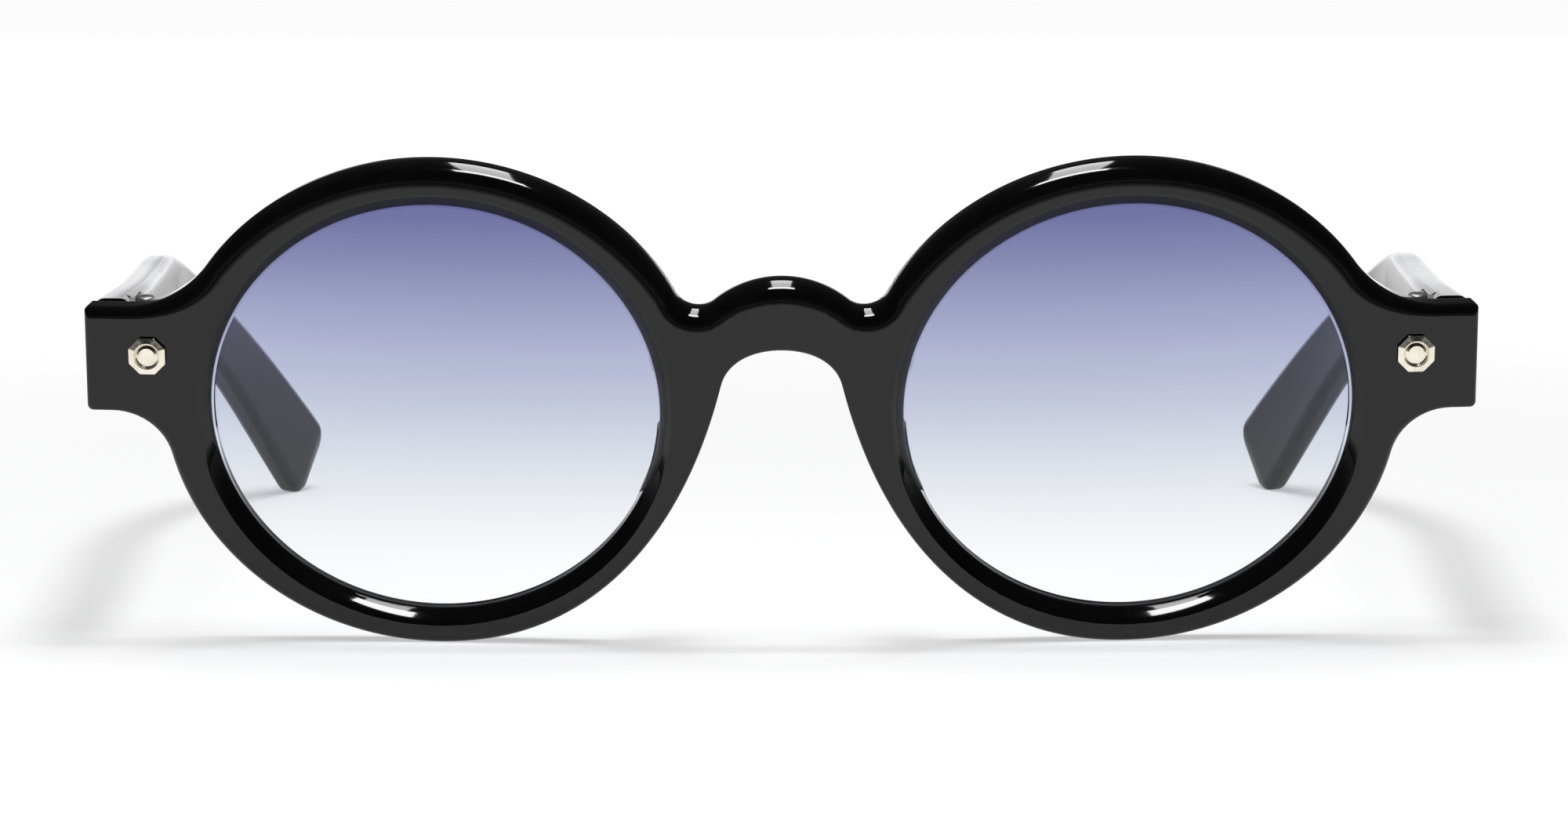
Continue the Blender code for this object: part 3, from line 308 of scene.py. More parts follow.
def box(bm, low, high, matrix=None):
    low, high = Vector(low), Vector(high)
    place = Matrix.Translation((low + high) / 2) @ Matrix.Diagonal((*(high - low), 1.0))
    bmesh.ops.create_cube(bm, size=1.0, matrix=place if matrix is None else matrix @ place)


def arc(centre, radius, start, end, steps):
    angles = [start + (end - start) * k / steps for k in range(steps + 1)]
    return [Vector((centre[0] + radius * math.cos(a), centre[1] + radius * math.sin(a))) for a in angles]


def bezier(p0, p1, p2, p3, steps):
    points = []
    for k in range(steps + 1):
        t = k / steps
        u = 1.0 - t
        points.append(p0 * u**3 + p1 * (3 * u * u * t) + p2 * (3 * u * t * t) + p3 * t**3)
    return points


def prism(bm, outline, low, high, edge):
    """An upright prism over a flat outline, with its two rims chamfered."""
    rings = []
    middle = sum(outline, Vector((0.0, 0.0))) / len(outline)
    for height, drawn in ((low, edge), (low + edge, 0.0), (high - edge, 0.0), (high, edge)):
        ring = [point - (point - middle).normalized() * drawn for point in outline]
        rings.append([(point.x, point.y, height) for point in ring])
    loft(bm, rings)


def object_of(name, bm):
    """The shape as an object."""
    mesh = bpy.data.meshes.new(name)
    bm.to_mesh(mesh)
    bm.free()
    item = bpy.data.objects.new(name, mesh)
    bpy.context.scene.collection.objects.link(item)
    return item


def placed(name, bm, matrix):
    """The cleaned shape as an object that has its place in its points."""
    bmesh.ops.remove_doubles(bm, verts=bm.verts, dist=SAME_POINT)
    bmesh.ops.recalc_face_normals(bm, faces=bm.faces)
    item = object_of(name, bm)
    item.data.transform(matrix)
    return item


def shaped(item):
    """The object's mesh with its modifiers applied, which then takes the place of both."""
    bpy.context.view_layer.update()
    result = bpy.data.meshes.new_from_object(item.evaluated_get(bpy.context.evaluated_depsgraph_get()))
    item.modifiers.clear()
    item.data = result
    return item


def cut(item, tools):
    """Cuts the tools from an object and removes them."""
    for tool in tools:
        modifier = item.modifiers.new(tool.name, "BOOLEAN")
        modifier.object = tool
        modifier.operation = "DIFFERENCE"
        modifier.solver = "EXACT"
    shaped(item)
    for tool in tools:
        bpy.data.objects.remove(tool, do_unlink=True)


def smooth(item, sharp=SHARP, weighted=False):
    item.data.shade_smooth()
    item.data.set_sharp_from_angle(angle=sharp)
    if weighted:
        modifier = item.modifiers.new("flat_faces_stay_flat", "WEIGHTED_NORMAL")
        modifier.keep_sharp = True
        shaped(item)
    return item


def left_twin(item):
    """The left piece: the right one's finished mesh, mirrored."""
    bm = bmesh.new()
    bm.from_mesh(item.data)
    bm.transform(Matrix.Diagonal((-1.0, 1.0, 1.0, 1.0)))
    bmesh.ops.reverse_faces(bm, faces=bm.faces)
    twin = object_of(item.name.replace("right", "left"), bm)
    for material in item.data.materials:
        twin.data.materials.append(material)
    return twin


# Node helpers


def feed(tree, socket, value):
    """Sets a socket to a plain value, or joins it to the output that feeds it."""
    if isinstance(value, bpy.types.NodeSocket):
        tree.links.new(value, socket)
    else:
        socket.default_value = value


def add_node(tree, kind, inputs=None, **settings):
    """Adds a node with its settings and its inputs, given by name or number, and returns its outputs."""
    node = tree.nodes.new(kind)
    for name, value in settings.items():
        setattr(node, name, value)
    for name, value in (inputs or {}).items():
        feed(tree, node.inputs[name], value)
    return node.outputs


# Front


def rim_point(angle, inset=0.0):
    """A point of the rim's outer edge, an ellipse, or one that is inset from it, outside it if negative."""
    half_width = OPENING_HALF_WIDTH + RIM_WIDTH_SIDE
    half_height = OPENING_HALF_HEIGHT + (RIM_WIDTH_TOP + RIM_WIDTH_BOTTOM) / 2
    centre = Vector((LENS_CENTRE, (RIM_WIDTH_TOP - RIM_WIDTH_BOTTOM) / 2))
    point = centre + Vector((half_width * math.cos(angle), half_height * math.sin(angle)))
    normal = Vector((half_height * math.cos(angle), half_width * math.sin(angle))).normalized()
    return point - normal * inset


def heading(vector):
    return math.atan2(vector.y, vector.x)


def nose_curves(steps):
    """The side of the nose space, from its corner to the rim, and its arch, from the middle to the corner."""
    corner = Vector(NOSE_CORNER)
    down = Vector((math.sin(NOSE_SIDE_ANGLE), -math.cos(NOSE_SIDE_ANGLE)))
    foot = rim_point(NOSE_FOOT_ANGLE)
    along = (rim_point(NOSE_FOOT_ANGLE + math.radians(0.5)) - foot).normalized()
    side = bezier(corner, corner + down * NOSE_SIDE_REACH, foot - along * NOSE_FOOT_REACH, foot, steps)
    beside_top = Vector((NOSE_TOP_REACH, NOSE_TOP))
    arch = bezier(Vector((0.0, NOSE_TOP)), beside_top, corner - down * NOSE_CORNER_REACH, corner, steps // 2)
    return side, arch


def front_outline():
    """Half of the outline, clockwise from the top of the bridge: points, and the edge's radius at each."""
    outline = []

    def add(points, start, end):
        last = len(points) - 1
        for k, point in enumerate(points):
            if not outline or (outline[-1][0] - point).length > SAME_POINT:
                outline.append((point, start + (end - start) * ease(k, 0, last)))

    def rim(start, end, steps):
        return [rim_point(start + (end - start) * k / steps) for k in range(steps + 1)]

    steps = OUTLINE_STEPS
    arch_centre = Vector((0.0, BRIDGE_TOP - BRIDGE_ARCH_RADIUS))
    reach = BRIDGE_ARCH_RADIUS + BRIDGE_VALLEY_RADIUS
    valley_angle = find_root(
        lambda a: (rim_point(a, -BRIDGE_VALLEY_RADIUS) - arch_centre).length - reach, math.pi / 2, math.pi
    )
    valley = rim_point(valley_angle, -BRIDGE_VALLEY_RADIUS)
    arch_end = heading(valley - arch_centre)
    add(arc(arch_centre, BRIDGE_ARCH_RADIUS, math.pi / 2, arch_end, 2 * steps), EDGE_RIM, EDGE_RIM)
    valley_end = heading(rim_point(valley_angle) - valley)
    add(arc(valley, BRIDGE_VALLEY_RADIUS, arch_end - math.pi, valley_end, steps), EDGE_RIM, EDGE_RIM)
    top_angle = find_root(
        lambda a: rim_point(a, -END_FILLET_TOP).y - END_PIECE_TOP - END_FILLET_TOP, 0.0, math.pi / 2
    )
    add(rim(valley_angle, top_angle, 8 * steps), EDGE_RIM, EDGE_RIM)
    fillet = rim_point(top_angle, -END_FILLET_TOP)
    start = heading(rim_point(top_angle) - fillet)
    add(arc(fillet, END_FILLET_TOP, start, -math.pi / 2, 2 * steps), EDGE_RIM, EDGE_END_TOP)
    corner = (END_PIECE_SIDE - END_CORNER_TOP, END_PIECE_TOP - END_CORNER_TOP)
    add(arc(corner, END_CORNER_TOP, math.pi / 2, 0.0, steps), EDGE_END_TOP, EDGE_END_SIDE)
    corner = (END_PIECE_SIDE - END_CORNER_BOTTOM, END_PIECE_BOTTOM + END_CORNER_BOTTOM)
    add(arc(corner, END_CORNER_BOTTOM, 0.0, -math.pi / 2, steps), EDGE_END_SIDE, EDGE_END_SIDE)
    low_angle = find_root(
        lambda a: rim_point(a, -END_FILLET_BOTTOM).y - END_PIECE_BOTTOM + END_FILLET_BOTTOM, -math.pi / 2, 0.0
    )
    fillet = rim_point(low_angle, -END_FILLET_BOTTOM)
    end = heading(rim_point(low_angle) - fillet)
    add(arc(fillet, END_FILLET_BOTTOM, math.pi / 2, end, steps), EDGE_END_SIDE, EDGE_RIM_BOTTOM)
    add(rim(low_angle, NOSE_FOOT_ANGLE, 6 * steps), EDGE_RIM_BOTTOM, EDGE_RIM_BOTTOM)
    side, arch = nose_curves(3 * steps)
    add(side[::-1], EDGE_RIM_BOTTOM, EDGE_NOSE)
    add(arch[::-1], EDGE_NOSE, EDGE_NOSE)
    return outline


def quarter(steps):
    return [math.pi / 2 * k / steps for k in range(steps + 1)]


def edge_steps(outline):
    """How far each outline point moves in to the edge of the front face, and of the back face.

    A corner of the end piece moves in from both of its sides at once, so it keeps its radius.
    """
    points = [point for point, _ in outline]
    chain = [Vector((-points[1].x, points[1].y)), *points, Vector((-points[-2].x, points[-2].y))]
    middle = (END_PIECE_TOP + END_PIECE_BOTTOM) / 2
    steps = []
    for before, (point, edge), after in zip(chain, outline, chain[2:]):
        forward = (after - point).normalized() + (point - before).normalized()
        normal = Vector((forward.y, -forward.x)).normalized()
        front_step, back_step = normal * edge, normal * EDGE_BACK
        for up, corner, drop in ((1, END_CORNER_TOP, EDGE_END_TOP), (-1, END_CORNER_BOTTOM, EDGE_END_SIDE)):
            if (point.y - middle) * up > 0.0 and point.x > END_PIECE_SIDE - corner - SAME_POINT:
                front_step = Vector((-EDGE_END_SIDE, -up * drop))
                back_step = Vector((-EDGE_BACK, -up * EDGE_BACK))
        steps.append((front_step, back_step))
    return steps


def outer_rings():
    """The outer edge of the flat front's right half, as open rings from the front face to the back face."""
    outline = front_outline()
    steps = edge_steps(outline)
    rings = []
    for angle in quarter(ROUND_STEPS):
        inward, deep = 1.0 - math.sin(angle), 1.0 - math.cos(angle)
        places = [point + step * inward for (point, _), (step, _) in zip(outline, steps)]
        deep *= EDGE_DEPTH_SHARE
        rings.append([(place.x, edge * deep, place.y) for place, (_, edge) in zip(places, outline)])
    for angle in quarter(ROUND_STEPS // 2):
        places = [point + step * (1.0 - math.cos(angle)) for (point, _), (_, step) in zip(outline, steps)]
        depth = FRONT_THICKNESS - EDGE_BACK * (1.0 - math.sin(angle))
        rings.append([(place.x, depth, place.y) for place in places])
    return rings


def opening_rings():
    """The wall of the right lens opening from the front face to the back face: bevel, groove and chamfer."""
    profile = []
    for angle in quarter(ROUND_STEPS):
        sine, cosine = math.sin(angle), math.cos(angle)
        across = (1.0 - sine) + OPENING_BEVEL_SHARE * (cosine**2 - (1.0 - sine))
        down = (1.0 - cosine) + OPENING_BEVEL_SHARE * (sine**2 - (1.0 - cosine))
        profile.append((OPENING_ROUND_WIDTH * across, OPENING_ROUND_DEPTH * down))
    profile.append((0.0, GROOVE_PLACE - GROOVE_HALF_WIDTH))
    profile.append((GROOVE_DEPTH, GROOVE_PLACE))
    profile.append((0.0, GROOVE_PLACE + GROOVE_HALF_WIDTH))
    profile.append((0.0, FRONT_THICKNESS - OPENING_BACK_CHAMFER))
    profile.append((OPENING_BACK_CHAMFER / 4, FRONT_THICKNESS - OPENING_BACK_CHAMFER / 4))
    profile.append((OPENING_BACK_CHAMFER, FRONT_THICKNESS))
    rings = []
    for step, depth in profile:
        ring = []
        for k in range(OPENING_STEPS):
            angle = 2 * math.pi * k / OPENING_STEPS
            across = Vector((OPENING_HALF_WIDTH * math.cos(angle), OPENING_HALF_HEIGHT * math.sin(angle)))
            slope = Vector((across.x / OPENING_HALF_WIDTH**2, across.y / OPENING_HALF_HEIGHT**2))
            place = across + slope.normalized() * step
            ring.append((LENS_CENTRE + place.x, depth, place.y))
        rings.append(ring)
    return rings


def front_shape():
    """The whole front: half is laid out flat, cut across where the bridge bends, mirrored and bent."""
    bm = bmesh.new()
    outer = loft(bm, outer_rings(), closed=False, capped=False)
    inner = loft(bm, opening_rings(), capped=False)
    for edge_row, opening_row in ((outer[0], inner[0]), (outer[-1], inner[-1])):
        edges = [bm.edges.get(pair) for pair in zip(edge_row, edge_row[1:])]
        edges += [bm.edges.get(pair) for pair in zip(opening_row, opening_row[1:] + opening_row[:1])]
        edges.append(bm.edges.new((edge_row[-1], edge_row[0])))
        bmesh.ops.triangle_fill(bm, use_beauty=True, use_dissolve=False, edges=edges)
    for k in range(1, BEND_CUTS + 1):
        geometry = list(bm.verts) + list(bm.edges) + list(bm.faces)
        place = Vector((WRAP_LENGTH * k / BEND_CUTS, 0.0, 0.0))
        bmesh.ops.bisect_plane(bm, geom=geometry, dist=SAME_POINT, plane_co=place, plane_no=(1.0, 0.0, 0.0))
    twin = bm.copy()
    bmesh.ops.reverse_faces(twin, faces=twin.faces)
    bmesh.ops.transform(twin, matrix=Matrix.Diagonal((-1.0, 1.0, 1.0, 1.0)), verts=twin.verts)
    half = bpy.data.meshes.new("half")
    twin.to_mesh(half)
    twin.free()
    bm.from_mesh(half)
    bpy.data.meshes.remove(half)
    bmesh.ops.remove_doubles(bm, verts=bm.verts, dist=SAME_POINT)
    for vert in bm.verts:
        vert.co = bend(*vert.co)
    return bm


def rivet_seat():
    seat = Matrix.Translation((RIVET_PLACE - LENS_CENTRE, RIVET_HEAD_THICKNESS - RIVET_PROUD, RIVET_HEIGHT))
    return seat @ Matrix.Rotation(math.pi / 2, 4, "X")


def rivet_cutter(name, matrix):
    """A hole for a rivet's head, which is what shows of its seat."""
    seat = bmesh.new()
    profile = [(RIVET_ACROSS_FLATS / 2 + RIVET_GAP / 3, height, 0.0) for height in (-RIVET_GAP, OVERRUN * 2)]
    turned(seat, profile, TURNED_STEPS, sides=8)
    return placed(name, seat, matrix)


def front_leaf_pocket():
    bm = bmesh.new()
    half_height = LEAF_HALF_HEIGHT + LEAF_GAP
    floor = -HINGE_STANDOFF - LEAF_THICKNESS - LEAF_GAP
    low = (-NECK_EDGE - FRONT_LEAF_LENGTH - LEAF_GAP, floor, -half_height)
    box(bm, low, (-NECK_EDGE + LEAF_GAP, -HINGE_STANDOFF + OVERRUN, half_height))
    return placed("front_leaf_pocket_right", bm, HINGE)


def make_front():
    front = placed("front_shell", front_shape(), STAND)
    tools = [front_leaf_pocket(), rivet_cutter("front_rivet_right", SIDE @ rivet_seat())]
    cut(front, tools + [left_twin(tool) for tool in tools])
    return smooth(front, weighted=True)


# Lenses


def make_lens():
    """A lens of even thickness with a bevelled edge, turned round and squeezed to the opening's height."""
    body = OPENING_HALF_WIDTH - LENS_GAP

    def sag(radius):
        return math.sqrt(LENS_CURVE_RADIUS**2 - radius**2) - math.sqrt(LENS_CURVE_RADIUS**2 - body**2)

    radii = [body * math.sin(math.pi / 2 * k / LENS_RINGS) for k in range(1, LENS_RINGS + 1)]
    profile = [(radius, sag(radius) + LENS_EDGE_HALF_WIDTH) for radius in radii]
    profile.append((OPENING_HALF_WIDTH + GROOVE_DEPTH - LENS_GAP, 0.0))
    profile += [(radius, sag(radius) - LENS_EDGE_HALF_WIDTH) for radius in radii[::-1]]
    turns = [2 * math.pi * k / OPENING_STEPS for k in range(OPENING_STEPS)]
    round_points = [(math.cos(angle), math.sin(angle)) for angle in turns]
    rings = [[(radius * x, radius * y, height) for x, y in round_points] for radius, height in profile]
    bm = bmesh.new()
    rows = loft(bm, rings, capped=False)
    for row, side in ((rows[0], 1.0), (rows[-1], -1.0)):
        pole = bm.verts.new((0.0, 0.0, sag(0.0) + side * LENS_EDGE_HALF_WIDTH))
        for k in range(OPENING_STEPS):
            bm.faces.new((row[k], row[(k + 1) % OPENING_STEPS], pole))
    squeeze = Matrix.Diagonal((1.0, OPENING_HALF_HEIGHT / OPENING_HALF_WIDTH, 1.0, 1.0))
    place = SIDE @ Matrix.Translation((0.0, GROOVE_PLACE, 0.0)) @ Matrix.Rotation(math.pi / 2, 4, "X")
    return smooth(placed("lens_pane_right", bm, place @ squeeze), sharp=math.radians(25.0))


# Rivets


def rivet_profile():
    """(radius, height, roundness) of a rivet from its shank up over the bezel, the groove and the boss.

    The front and the temples are equally thick, so its shank is as long in both.
    """
    length = FRONT_THICKNESS - RIVET_HEAD_THICKNESS + RIVET_PROUD
    top = RIVET_HEAD_THICKNESS
    half = RIVET_ACROSS_FLATS / 2
    low = top - RIVET_BEZEL_DROP
    tiny = RIVET_EDGE
    floor = top - RIVET_GROOVE_DEPTH
    return [
        (RIVET_SHANK_RADIUS, -length, 1.0),
        (RIVET_SHANK_RADIUS, 0.0, 1.0),
        (half - tiny, 0.0, 0.0),
        (half, tiny, 0.0),
        (half, low - tiny, 0.0),
        (half - tiny * 0.3, low - tiny * 0.3, 0.0),
        (half - tiny, low, 0.0),
        (RIVET_BEZEL_RADIUS + tiny, top - tiny * 0.6, 0.5),
        (RIVET_BEZEL_RADIUS, top, 1.0),
        (RIVET_GROOVE_OUTER, top - tiny * 0.5, 1.0),
        (RIVET_GROOVE_OUTER - tiny * 0.4, floor + tiny, 1.0),
        (RIVET_GROOVE_OUTER - tiny * 1.4, floor, 1.0),
        (RIVET_GROOVE_INNER, floor, 1.0),
        (RIVET_BOSS_RADIUS + tiny, top - tiny * 1.1, 1.0),
        (RIVET_BOSS_RADIUS, top - tiny * 0.6, 1.0),
        (RIVET_BOSS_RADIUS * 0.72, top - tiny * 0.2, 1.0),
        (RIVET_BOSS_RADIUS * 0.4, top, 1.0),
        (RIVET_BOSS_RADIUS * 0.1, top, 1.0),
    ]


def make_rivet(name, matrix):
    bm = bmesh.new()
    turned(bm, rivet_profile(), RIVET_STEPS, sides=8)
    return smooth(placed(name, bm, matrix), sharp=math.radians(20.0))


# Hinges


def knuckle_tree(material):
    """Geometry nodes: a row of hinge barrels, each a ring of rounded rectangular section."""
    tree = bpy.data.node_groups.new("knuckle_row", "GeometryNodeTree")
    tree.interface.new_socket("Geometry", in_out="OUTPUT", socket_type="NodeSocketGeometry")
    sizes = {}
    for name in ("Count", "Spacing", "First", "Length", "Middle Radius", "Wall", "Edge"):
        kind = "NodeSocketInt" if name == "Count" else "NodeSocketFloat"
        sizes[name] = tree.interface.new_socket(name, in_out="INPUT", socket_type=kind).identifier
    given = add_node(tree, "NodeGroupInput")
    values = {"Resolution": TURNED_STEPS, "Radius": given["Middle Radius"]}
    ring = add_node(tree, "GeometryNodeCurvePrimitiveCircle", values)
    values = {"Width": given["Wall"], "Height": given["Length"]}
    section = add_node(tree, "GeometryNodeCurvePrimitiveQuadrilateral", values)
    values = {"Count": 3, "Curve": section["Curve"], "Radius": given["Edge"]}
    fillet = add_node(tree, "GeometryNodeFilletCurve", values, mode="POLY")
    values = {"Curve": ring["Curve"], "Profile Curve": fillet["Curve"]}
    barrel = add_node(tree, "GeometryNodeCurveToMesh", values)
    start = add_node(tree, "ShaderNodeCombineXYZ", {"Z": given["First"]})
    step = add_node(tree, "ShaderNodeCombineXYZ", {"Z": given["Spacing"]})
    values = {"Count": given["Count"], "Start Location": start["Vector"], "Offset": step["Vector"]}
    row = add_node(tree, "GeometryNodeMeshLine", values, mode="OFFSET")
    values = {"Points": row["Mesh"], "Instance": barrel["Mesh"]}
    spread = add_node(tree, "GeometryNodeInstanceOnPoints", values)
    real = add_node(tree, "GeometryNodeRealizeInstances", {"Geometry": spread["Instances"]})
    painted = add_node(tree, "GeometryNodeSetMaterial", {"Material": material, "Geometry": real["Geometry"]})
    add_node(tree, "NodeGroupOutput", {"Geometry": painted["Geometry"]})
    return tree, sizes


def knuckles(row, indices, matrix):
    """The barrels at the given places of the row, as a plain mesh in place."""
    tree, sizes = row
    item = object_of("knuckles", bmesh.new())
    modifier = item.modifiers.new("knuckle_row", "NODES")
    modifier.node_group = tree
    bore = SCREW_RADIUS + SCREW_GAP
    values = {
        "Count": len(indices),
        "Spacing": KNUCKLE_PITCH * (indices[1] - indices[0]),
        "First": KNUCKLE_PITCH * indices[0],
        "Length": KNUCKLE_PITCH - KNUCKLE_GAP,
        "Middle Radius": (KNUCKLE_RADIUS + bore) / 2,
        "Wall": KNUCKLE_RADIUS - bore,
        "Edge": HINGE_ROUND,
    }
    for name, value in values.items():
        modifier[sizes[name]] = value
    shaped(item)
    item.data.transform(matrix)
    return item


def hinge_leaf(name, low, high, plate_matrix, outline, indices, row, matrix):
    """A leaf: its plate with rounded edges, its barrels, and the necks of the given outline between them."""
    plate = bmesh.new()
    box(plate, low, high)
    edges = list(plate.edges)
    bmesh.ops.bevel(plate, geom=edges, offset=HINGE_ROUND, segments=3, affect="EDGES", profile=0.5)
    necks = bmesh.new()
    half = (KNUCKLE_PITCH - KNUCKLE_GAP) / 2
    for k in indices:
        prism(necks, outline, k * KNUCKLE_PITCH - half, k * KNUCKLE_PITCH + half, NECK_ROUND)
    parts = [placed("plate", plate, plate_matrix), placed("necks", necks, matrix)]
    parts.append(knuckles(row, indices, matrix))
    whole = bmesh.new()
    for part in parts:
        whole.from_mesh(part.data)
        bpy.data.objects.remove(part, do_unlink=True)
    return smooth(object_of(name, whole), sharp=math.radians(50.0), weighted=True)


def make_front_leaf(row):
    back = -HINGE_STANDOFF
    low = (-NECK_EDGE - FRONT_LEAF_LENGTH, back - LEAF_THICKNESS, -LEAF_HALF_HEIGHT)
    high = (-NECK_EDGE, back, LEAF_HALF_HEIGHT)
    bore = SCREW_RADIUS + SCREW_GAP
    outline = [Vector((-NECK_EDGE, -math.sqrt(bore**2 - NECK_EDGE**2) - NECK_ROUND))]
    outline += arc((0.0, 0.0), bore + HINGE_ROUND, *FRONT_NECK_ARC, 8)
    outline.append(Vector((-KNUCKLE_RADIUS, 0.0)))
    outline += [Vector((x, back - LEAF_THICKNESS / 2)) for x in (-KNUCKLE_RADIUS, -NECK_EDGE)]
    return hinge_leaf("front_leaf_right", low, high, HINGE, outline, (-1, 1), row, HINGE)


def make_temple_leaf(row):
    tilted = TEMPLE @ Matrix.Rotation(-TEMPLE_SLOPE, 4, "X")
    inner, outer = TEMPLE_OFFSET, TEMPLE_OFFSET + LEAF_THICKNESS
    low = (inner, TEMPLE_LEAF_START, -LEAF_HALF_HEIGHT)
    high = (outer, TEMPLE_LEAF_START + TEMPLE_LEAF_LENGTH, LEAF_HALF_HEIGHT)
    back = TEMPLE_LEAF_START + LEAF_THICKNESS
    outline = arc((0.0, 0.0), SCREW_RADIUS + SCREW_GAP + HINGE_ROUND, *TEMPLE_NECK_ARC, 10)
    outline += [Vector((outer, TEMPLE_NECK_START)), Vector((outer, back)), Vector((inner, back))]
    outline = [Vector((inner, KNUCKLE_RADIUS * 0.6)), *outline[::-1]]
    return hinge_leaf("temple_leaf_right", low, high, tilted, outline, (-2, 0, 2), row, TEMPLE)


def make_screw():
    """A slotted hinge screw with a slightly domed head."""
    top = KNUCKLE_PITCH * KNUCKLE_COUNT / 2
    head = top + SCREW_HEAD_HEIGHT
    wide, edge = SCREW_HEAD_RADIUS, HINGE_ROUND
    profile = [
        (SCREW_RADIUS - edge, -top, 1.0),
        (SCREW_RADIUS, -top + edge, 1.0),
        (SCREW_RADIUS, top, 1.0),
        (wide - edge / 2, top, 1.0),
        (wide, top + edge / 2, 1.0),
        (wide, head - edge * 1.6, 1.0),
        (wide - edge / 2, head - edge * 0.8, 1.0),
        (wide - edge * 1.5, head - edge / 3, 1.0),
        (wide * 0.4, head, 1.0),
    ]
    bm = bmesh.new()
    turned(bm, profile, TURNED_STEPS)
    screw = placed("hinge_pin_right", bm, HINGE)
    slot = bmesh.new()
    reach = wide + OVERRUN
    box(slot, (-reach, -SCREW_SLOT / 2, head - SCREW_SLOT), (reach, SCREW_SLOT / 2, head + OVERRUN))
    cut(screw, [placed("slot", slot, HINGE)])
    return smooth(screw, sharp=math.radians(30.0), weighted=True)


# Temples


def temple_direction(slope, inward):
    level = math.cos(slope)
    return Vector((-math.sin(inward) * level, math.cos(inward) * level, math.sin(slope)))


def temple_path(places):
    """Position, slope and inward turn of the temple's middle line at each distance from its front end."""
    step = TEMPLE_LENGTH / PATH_STEPS
    centre_height = (END_PIECE_TOP + END_PIECE_BOTTOM) / 2 - RIVET_HEIGHT
    point = Vector((TEMPLE_OFFSET + TEMPLE_THICKNESS / 2, TEMPLE_BUTT_GAP - HINGE_STANDOFF, centre_height))
    path = []
    place = 0.0
    for target in places:
        while True:
            slope = -TEMPLE_SLOPE - BEND_ANGLE * ease(place, BEND_START, BEND_START + BEND_LENGTH)
            inward = INWARD_ANGLE * max(place - INWARD_START, 0.0) / (TEMPLE_LENGTH - INWARD_START)
            inward -= SPLAY_ANGLE * ease(place, SPLAY_START, SPLAY_START + SPLAY_LENGTH)
            if place + step > target:
                break
            point = point + temple_direction(slope, inward) * step
            place += step
        rest = temple_direction(slope, inward) * (target - place)
        path.append((point + rest, slope, inward))
    return path


def temple_height(place):
    height = TEMPLE_HEIGHTS[0]
    for k in range(len(TEMPLE_HEIGHTS) - 1):
        growth = TEMPLE_HEIGHTS[k + 1] - TEMPLE_HEIGHTS[k]
        height += growth * ease(place, TEMPLE_HEIGHT_PLACES[k], TEMPLE_HEIGHT_PLACES[k + 1])
    return height


def temple_section(half_width, half_height, edge):
    """A rounded rectangle, anticlockwise as (outward, up)."""
    edge = min(edge, half_width * 0.9, half_height * 0.9)
    points = []
    for k, (side, up) in enumerate(((1, 1), (-1, 1), (-1, -1), (1, -1))):
        start = k * math.pi / 2
        centre = (side * (half_width - edge), up * (half_height - edge))
        points += arc(centre, edge, start, start + math.pi / 2, 8)
    return points


def temple_rivet_matrix():
    depth = RIVET_HEAD_THICKNESS - RIVET_PROUD
    drop = TEMPLE_RIVET_PLACE * math.tan(TEMPLE_SLOPE)
    seat = Vector((TEMPLE_OFFSET + TEMPLE_THICKNESS - depth, TEMPLE_RIVET_PLACE, -drop))
    return Matrix.Translation(seat) @ Matrix.Rotation(math.pi / 2, 4, "Y")


def temple_pockets():
    tilt = Matrix.Rotation(-TEMPLE_SLOPE, 4, "X")
    inner, outer = TEMPLE_OFFSET - OVERRUN / 2, TEMPLE_OFFSET + LEAF_THICKNESS + LEAF_GAP
    half_height = LEAF_HALF_HEIGHT + LEAF_GAP
    end = TEMPLE_LEAF_START + TEMPLE_LEAF_LENGTH + LEAF_GAP
    flat = bmesh.new()
    box(flat, (inner, TEMPLE_LEAF_START - LEAF_GAP, -half_height), (outer, end, half_height), tilt)
    barrel = bmesh.new()
    half_height = KNUCKLE_PITCH * KNUCKLE_COUNT / 2 + LEAF_GAP
    low = (inner, -HINGE_STANDOFF - OVERRUN, -half_height)
    box(barrel, low, (outer, TEMPLE_LEAF_START + LEAF_THICKNESS + LEAF_GAP, half_height))
    return [placed("leaf_pocket", flat, TEMPLE), placed("barrel_pocket", barrel, TEMPLE)]


